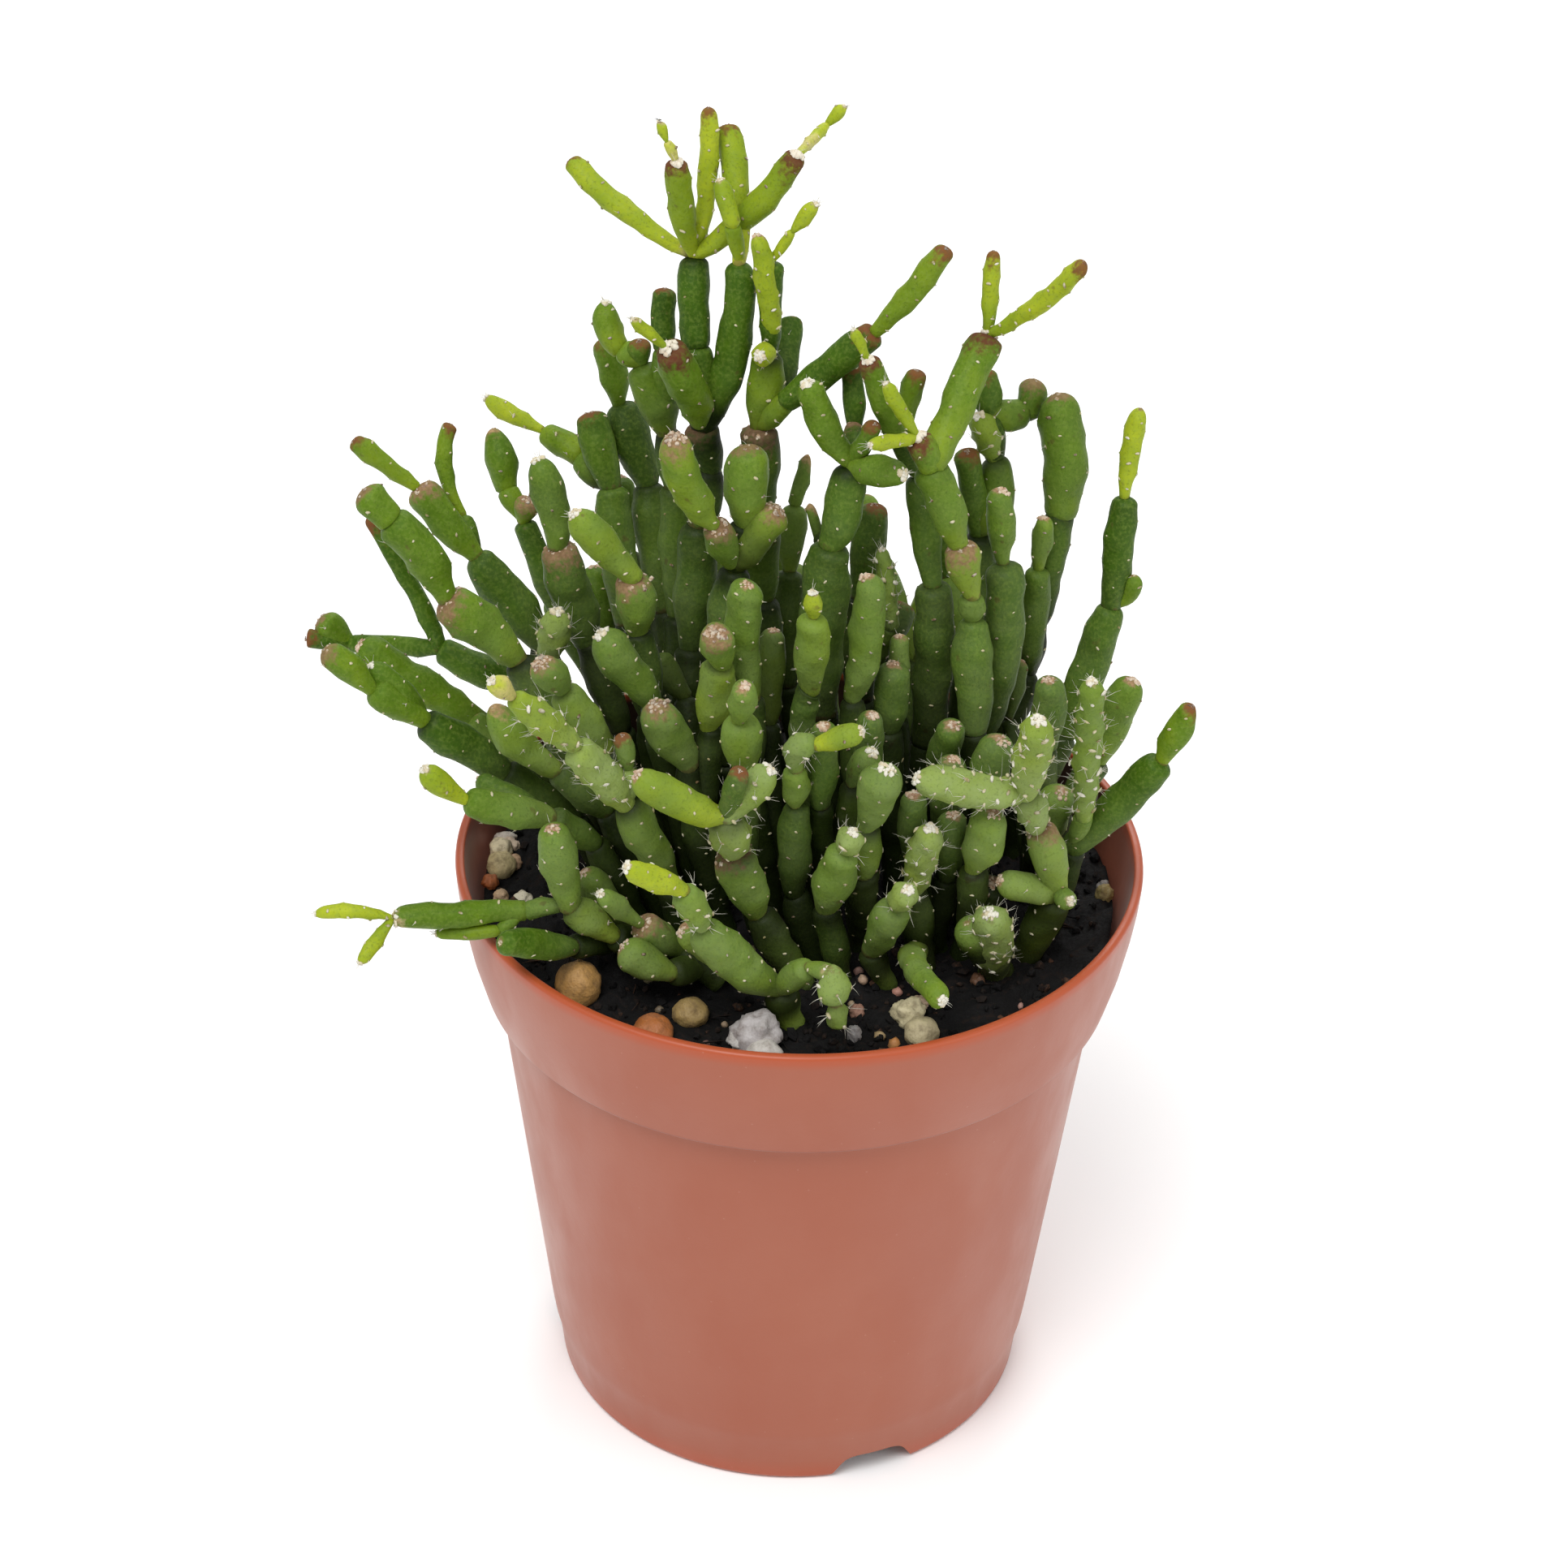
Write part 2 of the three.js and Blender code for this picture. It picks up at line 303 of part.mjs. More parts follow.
    [0, 0.3, 8, 9.8, 2.2, "old"], [1, 0.4, 17, 10, 2.4, "old"], [2, 0.85, 22.2, 10, 2.1, "green through"],
    [3, 1.9, 26.2, 10, 1.2, "green taper"]]],
];

// The stems behind the clump, set in the part's own frame: [grows from, x, y, z, girth, look].
const backStems = [
  ["back_right", [12.5, 13.5, 2.6], [
    [0, 14.4, 17, 55.5, 3.0, "old"], [1, 17.0, 20.4, 61, 3.0, "green pink"],
    [1, 12.0, 22, 63, 2.9, "green"], [3, 12.2, 24.2, 68.5, 2.6, "old pink"]]],
  ["back_mid_right", [7.5, 16.5, 2.6], [
    [0, 9.3, 20, 56, 2.7, "old"], [1, 11.0, 23.6, 61.5, 2.9, "green pink"],
    [1, 6.0, 23.0, 63, 2.9, "green"], [3, 4.6, 25.6, 68.5, 2.6, "green pink"]]],
  ["back_middle", [2.0, 15.5, 2.6], [
    [0, 1.4, 18.6, 57, 2.8, "old"], [1, -1.6, 21.4, 64, 3.0, "green"],
    [2, -2.6, 23.2, 67.2, 2.6, "green pink"], [1, 3.0, 23.4, 60, 2.7, "green pink"]]],
  ["back_mid_left", [-4.6, 16.5, 2.6], [
    [0, -6.4, 19.6, 58, 3.0, "old"], [1, -8.2, 22.8, 66, 3.2, "green"],
    [2, -8.6, 25.0, 73.5, 2.8, "green pink"], [1, -4.4, 24.4, 63.5, 2.8, "green pink"]]],
  ["back_left", [-10.2, 15.2, 2.6], [
    [0, -13.2, 18.4, 57, 3.0, "old"], [1, -15.4, 21.4, 65, 3.2, "green"],
    [2, -15.4, 23.4, 71, 2.8, "green pink"], [1, -11.0, 23.4, 63.5, 2.8, "green pink"]]],
  ["back_far_left", [-15.6, 14.8, 2.6], [
    [0, -16.2, 17.8, 55.5, 2.8, "old"], [1, -21.0, 19.8, 61.5, 2.8, "green pink"],
    [1, -17.4, 21.6, 63.5, 3.0, "green pink"]]],
];

const degrees = Math.PI / 180;

function sightFrame() {
  const pitch = sight.pitch * degrees;
  const roll = sight.roll * degrees;
  const toEye = new THREE.Vector3(0, -Math.cos(pitch), Math.sin(pitch));
  const level = new THREE.Vector3(1, 0, 0);
  const rise = new THREE.Vector3(0, Math.sin(pitch), Math.cos(pitch));
  const right = level.clone().multiplyScalar(Math.cos(roll)).addScaledVector(rise, Math.sin(roll));
  const up = rise.clone().multiplyScalar(Math.cos(roll)).addScaledVector(level, -Math.sin(roll));
  const eye = sight.aim.clone().addScaledVector(toEye, sight.distance);
  return { toEye, right, up, eye };
}

const view = sightFrame();

// The place behind a point of the board, and how much larger it is there than it looks.
function spot(across, up, back) {
  const onBoard = sight.aim.clone().addScaledVector(view.right, across).addScaledVector(view.up, up);
  const ray = onBoard.sub(view.eye);
  const scale = (back - view.eye.y) / ray.y;
  return { place: view.eye.clone().addScaledVector(ray, scale), scale };
}

function soilHeight(x, y) {
  const mound = soilMound * (1 - (x * x + y * y) / (rimRadius * rimRadius));
  const lumps = 0.22 * Math.sin(0.9 * x + 1.3) * Math.cos(0.8 * y - 0.4);
  return soilLevel + mound + lumps + 0.12 * Math.sin(2.1 * x - 1.7 * y);
}

function toSolid(geometry) {
  const bare = geometry.index ? geometry.clone() : geometry;
  bare.deleteAttribute('normal');
  bare.deleteAttribute('uv');
  const merged = mergeVertices(bare, 1e-4);
  const vertProperties = new Float32Array(merged.attributes.position.array);
  const triVerts = new Uint32Array(merged.index.array);
  return new wasm.Manifold(new wasm.Mesh({ numProp: 3, vertProperties, triVerts }));
}

function toGeometry(solid) {
  const mesh = solid.getMesh();
  const geometry = new THREE.BufferGeometry();
  geometry.setAttribute('position', new THREE.BufferAttribute(mesh.vertProperties, 3));
  geometry.setIndex(new THREE.BufferAttribute(mesh.triVerts, 1));
  geometry.computeVertexNormals();
  return geometry;
}

function solidFrom(vertices, faces) {
  const vertProperties = new Float32Array(vertices.flat());
  const triVerts = new Uint32Array(faces.flat());
  return new wasm.Manifold(new wasm.Mesh({ numProp: 3, vertProperties, triVerts }));
}

// A solid turned about Z from [radius, height] points that start and end on the axis.
function turned(profile, sides) {
  const points = profile.map(([radius, height]) => new THREE.Vector2(radius, height));
  const geometry = new THREE.LatheGeometry(points, sides);
  geometry.rotateX(Math.PI / 2);
  return toSolid(geometry);
}

function innerRadius(height) {
  const foot = bodyBend.radius - wallThickness;
  const top = bodyTop.radius - wallThickness;
  const share = (height - bodyBend.height) / (bodyTop.height - bodyBend.height);
  return foot + (top - foot) * share;
}

function makePot() {
  const rimInner = rimRadius - wallThickness;
  const collarInner = collarFoot.radius - wallThickness;
  const pot = turned([
    [0, 0],
    [baseRadius - edgeRound, 0],
    [baseRadius, edgeRound],
    [bodyBend.radius, bodyBend.height],
    [bodyTop.radius, bodyTop.height],
    [collarFoot.radius, collarFoot.height],
    [rimRadius, potHeight - edgeRound],
    [rimRadius - edgeRound / 3, potHeight],
    [rimInner + edgeRound / 3, potHeight],
    [rimInner, potHeight - edgeRound],
    [collarInner, collarFoot.height + edgeRound],
    [innerRadius(ledgeHeight), ledgeHeight],
    [innerRadius(bodyBend.height), bodyBend.height],
    [baseRadius - wallThickness, floorThickness],
    [0, floorThickness],
  ], potSides);
  const notches = [];
  for (let index = 0; index < notchCount; index += 1) {
    notches.push(makeNotch(firstNotchAngle + (index * 360) / notchCount));
  }
  return notches.reduce((solid, notch) => solid.subtract(notch), pot);
}

// A slanted-sided wedge of air across the foot of the wall.
function makeNotch(angle) {
  const outline = new THREE.Shape([
    new THREE.Vector2(-notchWidth / 2, -notchSlant),
    new THREE.Vector2(notchWidth / 2, -notchSlant),
    new THREE.Vector2(notchWidth / 2, gap),
    new THREE.Vector2(notchWidth / 2 - notchSlant, notchHeight),
    new THREE.Vector2(notchSlant - notchWidth / 2, notchHeight),
    new THREE.Vector2(-notchWidth / 2, gap),
  ]);
  const geometry = new THREE.ExtrudeGeometry(outline, { depth: 2 * notchReach, bevelEnabled: false });
  geometry.rotateX(Math.PI / 2);
  geometry.translate(0, notchReach - baseRadius, 0);
  geometry.rotateZ((angle + 90) * degrees);
  return toSolid(geometry);
}

// The soil under its crumbled top, with a hole for each stem's foot.
function makeSoil(feet) {
  const vertices = [];
  const faces = [];
  const topRadius = collarFoot.radius - gap;
  const rows = [];
  for (let ring = 1; ring <= soilRings; ring += 1) {
    rows.push({ radius: (topRadius * ring) / soilRings, height: null });
  }
  rows.push({ radius: collarFoot.radius - wallThickness - gap, height: collarFoot.height + 2 * edgeRound });
  rows.push({ radius: innerRadius(ledgeHeight) - gap, height: ledgeHeight });
  rows.push({ radius: innerRadius(bodyBend.height) - gap, height: bodyBend.height });
  rows.push({ radius: baseRadius - wallThickness - gap, height: floorThickness + gap });
  vertices.push([0, 0, soilHeight(0, 0)]);
  for (const row of rows) {
    for (let side = 0; side < soilSides; side += 1) {
      const angle = (side * 360 * degrees) / soilSides;
      const x = row.radius * Math.cos(angle);
      const y = row.radius * Math.sin(angle);
      vertices.push([x, y, row.height === null ? soilHeight(x, y) : row.height]);
    }
  }
  vertices.push([0, 0, floorThickness + gap]);
  const last = vertices.length - 1;
  for (let side = 0; side < soilSides; side += 1) {
    const next = (side + 1) % soilSides;
    faces.push([0, 1 + side, 1 + next]);
    for (let row = 0; row < rows.length - 1; row += 1) {
      const inner = 1 + row * soilSides;
      const outer = inner + soilSides;
      faces.push([inner + side, outer + side, outer + next]);
      faces.push([inner + side, outer + next, inner + next]);
    }
    const rim = 1 + (rows.length - 1) * soilSides;
    faces.push([last, rim + next, rim + side]);
  }
  let soil = solidFrom(vertices, faces);
  for (const prill of prills) {
    const ball = new THREE.IcosahedronGeometry(prill.radius, prill.radius > 1.4 ? 1 : 0);
    ball.translate(prill.x, prill.y, soilHeight(prill.x, prill.y) + prill.radius / 3);
    soil = soil.add(toSolid(ball));
  }
  for (const foot of feet) {
    const radius = (foot.radius + gap) / Math.cos(Math.PI / holeSides);
    const height = 2 * pegDepth;
    const hole = new THREE.CylinderGeometry(radius, radius, height, holeSides);
    hole.rotateX(Math.PI / 2);
    hole.translate(foot.x, foot.y, soilHeight(foot.x, foot.y) - pegDepth - gap + height / 2);
    soil = soil.subtract(toSolid(hole));
  }
  return soil;
}

// How far a joint stands in front of or behind its tabled depth: stems fan out from the
// middle of the pot, and the side shoots of a stem turn forward and back by turns.
function swayOf(row, index, foot, rows, start, sides) {
  const at = new THREE.Vector2(row[1], row[2]);
  const isSideShoot = row[0] !== index;
  sides.turn *= isSideShoot ? -1 : 1;
  const turn = isSideShoot ? sides.turn : start.turn * 0.5 + wander * Math.sin(2.4 * index + foot[0]);
  const sway = start.sway + turn * swayShare * at.distanceTo(start.at);
  const travel = Math.hypot(row[1] - rows[0][1], row[2] - rows[0][2]);
  return { at, turn, sway, depth: sway + fanShare * (foot[1] - fanMiddle) * travel };
}

// Joints and segments of every stem in the part's own frame.
function layOut() {
  const joints = [];
  const segments = [];
  const plan = stems.concat(backStems);
  plan.forEach(([, foot, rows], stem) => {
    const first = joints.length;
    const ground = new THREE.Vector3(foot[0], foot[1], soilHeight(foot[0], foot[1]));
    const at = new THREE.Vector2(rows[0][1], rows[0][2]);
    const sides = { turn: foot[0] > 0 ? 1 : -1 };
    joints.push({ place: ground, isFoot: true, girth: foot[2], look: 'old', at, turn: 0, sway: 0 });
    rows.forEach((row, index) => {
      const start = joints[first + row[0]];
      const bow = new THREE.Vector3();
      const joint = { isFoot: false, girth: row[4], look: row[5], at: start.at, turn: 0, sway: 0 };
      if (stem < stems.length) {
        const { depth, ...pose } = swayOf(row, index, foot, rows, start, sides);
        const { place, scale } = spot(row[1], row[2], row[3] + depth);
        Object.assign(joint, pose, { place, girth: row[4] * scale });
        if (row.length > 6) {
          bow.copy(spot(row[6], row[7], (start.place.y + place.y) / 2).place);
          bow.sub(start.place.clone().add(place).multiplyScalar(0.5));
        }
      } else {
        joint.place = new THREE.Vector3(row[1], row[2], row[3]);
      }
      joints.push(joint);
      const ends = { from: first + row[0], to: joints.length - 1 };
      segments.push({ ...ends, stem, bow, girth: joint.girth, isRooted: row[0] === 0 });
    });
  });
  return { joints, segments, plan };
}

// How thick a segment is along its length, as a share of its full girth.
function bottle(share) {
  if (share < bellyShare) {
    return pinchShare + (1 - pinchShare) * Math.sin((share / bellyShare) * 90 * degrees);
  }
  return 1 - (1 - waistShare) * ((share - bellyShare) / (1 - bellyShare)) ** 2;
}

function along(segment, joints, share) {
  const start = joints[segment.from].place;
  const end = joints[segment.to].place;
  const place = start.clone().lerp(end, share);
  return place.addScaledVector(segment.bow, 4 * share * (1 - share));
}

// Presses stems apart where they would cross, mostly along the line of sight.
function settle(joints, segments) {
  for (const segment of segments) {
    const length = joints[segment.from].place.distanceTo(joints[segment.to].place);
    segment.beads = Math.max(2, Math.ceil(length / beadStep));
    const middle = joints[segment.from].place.clone().add(joints[segment.to].place).multiplyScalar(0.5);
    segment.depth = middle.dot(view.toEye);
  }
  for (let round = 0; round < settleRounds; round += 1) {
    const beads = [];
    segments.forEach((segment) => {
      for (let bead = 0; bead < segment.beads; bead += 1) {
        const share = (bead + 0.5) / segment.beads;
        const place = along(segment, joints, share);
        beads.push({ segment, share, place, radius: (segment.girth / 2) * bottle(share) });
      }
    });
    const moves = joints.map(() => ({ push: new THREE.Vector3(), weight: 0 }));
    pushApart(beads, moves);
    keepInPlace(beads, moves);
    joints.forEach((joint, index) => {
      const { push, weight } = moves[index];
      if (weight > 0) {
        const shift = push.divideScalar(Math.max(1, weight));
        if (joint.isFoot) {
          joint.place.x += 0.5 * shift.x;
          joint.place.y += 0.5 * shift.y;
          joint.place.z = soilHeight(joint.place.x, joint.place.y);
        } else {
          joint.place.add(shift);
        }
      }
    });
  }
}

function shove(moves, bead, push) {
  const ends = [[bead.segment.from, 1 - bead.share], [bead.segment.to, bead.share]];
  for (const [joint, share] of ends) {
    moves[joint].push.addScaledVector(push, share);
    moves[joint].weight += share * 0.5;
  }
}

function pushApart(beads, moves) {
  for (let first = 0; first < beads.length; first += 1) {
    const one = beads[first];
    for (let second = first + 1; second < beads.length; second += 1) {
      const other = beads[second];
      if (one.segment.stem !== other.segment.stem) {
        const reach = one.radius + other.radius + stemGap;
        const offset = one.place.clone().sub(other.place);
        const distance = offset.length();
        if (distance < reach) {
          const overlap = (reach - distance) / 2;
          offset.divideScalar(Math.max(distance, 0.01));
          const inSight = offset.dot(view.toEye);
          const nearer = one.segment.depth > other.segment.depth ? 1 : -1;
          const push = offset.addScaledVector(view.toEye, -inSight).multiplyScalar(sidePush);
          push.addScaledVector(view.toEye, inSight + sightPush * nearer).multiplyScalar(overlap);
          shove(moves, one, push);
          shove(moves, other, push.negate());
        }
      }
    }
  }
}

// Keeps every segment above the soil and over or inside the rim.
function keepInPlace(beads, moves) {
  for (const bead of beads) {
    const { x, y, z } = bead.place;
    const reach = Math.hypot(x, y);
    const floor = reach > innerRadius(collarFoot.height) ? potHeight : soilHeight(x, y);
    const lack = floor + bead.radius + stemGap - z;
    const isNeck = bead.segment.isRooted && bead.share < neckShare;
    if (lack > 0 && !isNeck) {
      shove(moves, bead, view.toEye.clone().multiplyScalar(lack));
    }
  }
}

// A closed tube through rings of given centres and radii, ending in a low point.
function tube(centres, radii, sides, tip) {
  const tangents = centres.map((centre, index) => {
    const before = centres[Math.max(index - 1, 0)];
    const after = centres[index + 1] || tip;
    return after.clone().sub(before).normalize();
  });
  const level = Math.abs(tangents[0].z) < 0.9 ? new THREE.Vector3(0, 0, 1) : new THREE.Vector3(1, 0, 0);
  const normal = level.clone().cross(tangents[0]).normalize();
  const vertices = [];
  const faces = [];
  centres.forEach((centre, index) => {
    const tangent = tangents[index];
    normal.addScaledVector(tangent, -normal.dot(tangent)).normalize();
    const across = tangent.clone().cross(normal);
    for (let side = 0; side < sides; side += 1) {
      const angle = (2 * Math.PI * side) / sides;
      const corner = centre.clone();
      corner.addScaledVector(normal, radii[index] * Math.cos(angle));
      corner.addScaledVector(across, radii[index] * Math.sin(angle));
      vertices.push(corner.toArray());
    }
  });
  vertices.push(centres[0].toArray(), tip.toArray());
  const last = centres.length - 1;
  for (let side = 0; side < sides; side += 1) {
    const next = (side + 1) % sides;
    faces.push([vertices.length - 2, next, side]);
    faces.push([vertices.length - 1, last * sides + side, last * sides + next]);
    for (let ring = 0; ring < last; ring += 1) {
      const lower = ring * sides;
      const upper = lower + sides;
      faces.push([lower + side, lower + next, upper + next]);
      faces.push([lower + side, upper + next, upper + side]);
    }
  }
  return solidFrom(vertices, faces);
}

// Where along a segment its rings stand: one on a twig or a root neck, two on a full bottle.
function ringShares(segment, length) {
  const isCurved = segment.bow.length() > 0.5;
  if (isCurved && length > 9) {
    return [0.25, 0.5, 0.78];
  }
  const isSlight = segment.isRooted || segment.girth < 2.5 || length < 1.7 * segment.girth;
  return isSlight && !isCurved ? [bellyShare] : [0.34, 0.74];
}

// One unbranched run of segments as a tube, from its peg or its parent's joint to its tip.
function runSolid(run, joints, peg) {
  const centres = [];
  const radii = [];
  const start = joints[run[0].from];
  if (peg) {
    centres.push(new THREE.Vector3(peg.x, peg.y, peg.bottom));
    radii.push(peg.radius);
  }
  centres.push(start.place.clone());
  radii.push(peg ? peg.radius : (run[0].girth / 2) * pinchShare);
  run.forEach((segment, index) => {
    const isLast = index === run.length - 1;
    const end = joints[segment.to];
    const length = joints[segment.from].place.distanceTo(end.place);
    const radius = segment.girth / 2;
    for (const share of ringShares(segment, length)) {
      centres.push(along(segment, joints, share));
      radii.push(radius * bottle(share));
    }
    if (isLast) {
      centres.push(along(segment, joints, 1 - (tipLength * radius) / length));
      radii.push(radius * waistShare * tipWidth);
    } else {
      const next = run[index + 1].girth / 2;
      const isThrough = end.look.includes('through');
      centres.push(end.place.clone());
      radii.push(isThrough ? (radius + next) / 2 : Math.min(radius * waistShare, next * pinchShare));
    }
  });
  const tip = joints[run[run.length - 1].to].place;
  const isFat = run.some((segment) => segment.girth > fatGirth);
  return tube(centres, radii, isFat ? 6 : 5, tip);
}

// Splits a stem into runs: the first shoot of a joint carries its run on, the others start new ones.
function runsOf(own) {
  const runs = [];
  const begin = (segment) => {
    const run = [segment];
    let shoots = own.filter((other) => other.from === segment.to);
    while (shoots.length > 0) {
      run.push(shoots[0]);
      shoots = own.filter((other) => other.from === shoots[0].to);
    }
    return run;
  };
  const starts = new Map();
  for (const segment of own) {
    if (starts.has(segment.from) || segment.isRooted) {
      runs.push(begin(segment));
    }
    starts.set(segment.from, true);
  }
  return runs;
}

function makeStem(own, joints) {
  const foot = joints[own[0].from];
  const ground = soilHeight(foot.place.x, foot.place.y);
  const peg = { x: foot.place.x, y: foot.place.y, radius: foot.radius, bottom: ground - pegDepth };
  const parts = runsOf(own).map((run, index) => runSolid(run, joints, index === 0 ? peg : null));
  return parts.reduce((solid, part) => solid.add(part));
}

// Lifts a stem's foot joint so that its lowest stretch clears the soil beside the hole.
function liftFoot(foot, own, joints) {
  let lift = gap;
  for (const segment of own.filter((other) => other.isRooted)) {
    const lean = joints[segment.to].place.clone().sub(foot.place).normalize();
    lift = Math.max(lift, 2 * gap + (segment.girth / 2) * Math.hypot(lean.x, lean.y));
  }
  foot.radius = (foot.girth / 2) * pegShare;
  foot.place.z = soilHeight(foot.place.x, foot.place.y) + lift;
}

function makeMesh(name, solid, material) {
  const mesh = new THREE.Mesh(toGeometry(solid), material);
  mesh.name = name;
  return mesh;
}

const cactus = new THREE.Group();
const { joints, segments, plan } = layOut();
settle(joints, segments);

const plastic = new THREE.MeshStandardMaterial({ color: 0xb4715e, roughness: 0.45, metalness: 0 });
const peat = new THREE.MeshStandardMaterial({ color: 0x1d1511, roughness: 0.95, metalness: 0 });
const stemGreens = [0x4f7a2c, 0x5d8a35, 0x466f2a];

const stemParts = plan.map(([name], stem) => {
  const own = segments.filter((segment) => segment.stem === stem);
  liftFoot(joints[own[0].from], own, joints);
  return { name, own, foot: joints[own[0].from] };
});
const feet = stemParts.map(({ foot }) => ({ x: foot.place.x, y: foot.place.y, radius: foot.radius }));

cactus.add(makeMesh('pot', makePot(), plastic));
cactus.add(makeMesh('soil', makeSoil(feet), peat));
stemParts.forEach(({ name, own }, index) => {
  const skin = { color: stemGreens[index % stemGreens.length], roughness: 0.5, metalness: 0 };
  cactus.add(makeMesh(`stem_${name}`, makeStem(own, joints), new THREE.MeshStandardMaterial(skin)));
});

export default cactus;
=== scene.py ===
import math

import bmesh
import bpy
import numpy as np
from mathutils import Matrix, Vector, noise


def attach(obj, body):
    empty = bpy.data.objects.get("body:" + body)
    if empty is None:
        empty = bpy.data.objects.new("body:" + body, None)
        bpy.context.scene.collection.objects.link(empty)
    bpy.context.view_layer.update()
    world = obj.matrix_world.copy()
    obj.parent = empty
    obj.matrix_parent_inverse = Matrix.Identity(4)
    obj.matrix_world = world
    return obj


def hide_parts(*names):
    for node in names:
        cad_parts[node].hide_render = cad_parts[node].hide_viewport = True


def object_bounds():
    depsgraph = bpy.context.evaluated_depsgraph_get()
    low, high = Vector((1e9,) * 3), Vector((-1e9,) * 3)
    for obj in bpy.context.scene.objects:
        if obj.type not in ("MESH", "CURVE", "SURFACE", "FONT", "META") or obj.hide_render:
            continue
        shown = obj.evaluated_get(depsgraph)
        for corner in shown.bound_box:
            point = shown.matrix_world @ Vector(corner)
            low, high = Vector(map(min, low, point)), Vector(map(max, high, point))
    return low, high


# A young mistletoe cactus in its 5.5 cm nursery pot.
# Lengths are worked out in millimetres, +Z up, and turned into metres as each mesh is made.

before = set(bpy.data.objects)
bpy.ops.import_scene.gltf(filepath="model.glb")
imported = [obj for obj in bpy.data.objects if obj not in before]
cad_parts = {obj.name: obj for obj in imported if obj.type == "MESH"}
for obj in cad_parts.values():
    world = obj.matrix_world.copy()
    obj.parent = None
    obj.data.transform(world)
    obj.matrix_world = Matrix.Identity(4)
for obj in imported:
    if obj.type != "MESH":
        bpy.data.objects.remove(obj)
cadBox = [list(corner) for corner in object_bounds()]
mm = 0.001
print("frame loaded,", len(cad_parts), "nodes")

lightLevel = 1.3  # how bright the studio is: paints are darker than they look by this much


def srgb(red, green, blue):
    # 0-255 screen colour to the linear colour that looks like it in this light
    def channel(value):
        value = value / 255
        return (value / 12.92 if value <= 0.04045 else ((value + 0.055) / 1.055) ** 2.4) / lightLevel
    return (channel(red), channel(green), channel(blue), 1.0)


def unit(vectors):
    return vectors / np.maximum(np.linalg.norm(vectors, axis=-1, keepdims=True), 1e-12)


def addPiece(name, points, faces, material, body="root", slot=None, smooth=True):
    # points in millimetres, faces as index lists
    mesh = bpy.data.meshes.new(name)
    mesh.from_pydata((np.asarray(points) * mm).tolist(), [], faces)
    mesh.polygons.foreach_set("use_smooth", [smooth] * len(mesh.polygons))
    mesh.materials.append(material)
    mesh.update()
    piece = bpy.data.objects.new(name, mesh)
    bpy.context.scene.collection.objects.link(piece)
    if body:
        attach(piece, body)
    return piece


def addValues(piece, name, values):
    # one number or one colour for each point, read by the materials
    values = np.asarray(values, dtype=np.float32)
    kind = "FLOAT_COLOR" if values.ndim == 2 else "FLOAT"
    layer = piece.data.attributes.new(name, kind, "POINT")
    layer.data.foreach_set("color" if values.ndim == 2 else "value", values.ravel())


def scatter(shape, places, turns, sizes, rng, rough=0.0):
    # copies of a small shape: places Nx3, turns Nx3x3 (rows are the copy's own axes), sizes Nx3
    shapePoints, shapeFaces = shape
    count, size = len(places), len(shapePoints)
    local = shapePoints[None, :, :] * sizes[:, None, :]
    if rough:
        local = local * (1 + rough * rng.standard_normal((count, size, 1)))
    points = places[:, None, :] + np.einsum("nvk,nkd->nvd", local, turns)
    faces = [[corner + size * copy for corner in face] for copy in range(count) for face in shapeFaces]
    return points.reshape(-1, 3), faces


def turnsFor(normals, rng):
    # a random turn about each normal, as rows x, y, normal
    helper = unit(rng.standard_normal(normals.shape))
    first = unit(np.cross(helper, normals))
    return np.stack([first, np.cross(normals, first), normals], axis=1)


def ballShape(level):
    mesh = bpy.data.meshes.new("ball")
    work = bmesh.new()
    bmesh.ops.create_icosphere(work, subdivisions=level, radius=1.0)
    work.to_mesh(mesh)
    work.free()
    points = np.array([vertex.co[:] for vertex in mesh.vertices])
    faces = [list(polygon.vertices) for polygon in mesh.polygons]
    bpy.data.meshes.remove(mesh)
    return points, faces


def ringFaces(rings, around, first, poles):
    # quads between rings of points, which begin at number first, and fans to a pole at each end
    faces = []
    last = first + (rings - 1) * around
    for side in range(around):
        after = (side + 1) % around
        faces.append([poles[0], first + after, first + side])
        faces.append([poles[1], last + side, last + after])
        for low in range(first, last, around):
            high = low + around
            faces.append([low + side, low + after, high + after, high + side])
    return faces


def domeShape(sides, rows):
    # a low cushion on the plane z = 0, closed underneath
    points = [[0, 0, -0.35]]
    for row in range(rows):
        angle = math.pi / 2 * row / rows
        for side in range(sides):
            turn = 2 * math.pi * (side + 0.5 * (row % 2)) / sides
            reach = math.cos(angle)
            points.append([math.cos(turn) * reach, math.sin(turn) * reach, math.sin(angle)])
    points.append([0, 0, 1])
    return np.array(points, dtype=float), ringFaces(rows, sides, 1, (0, len(points) - 1))


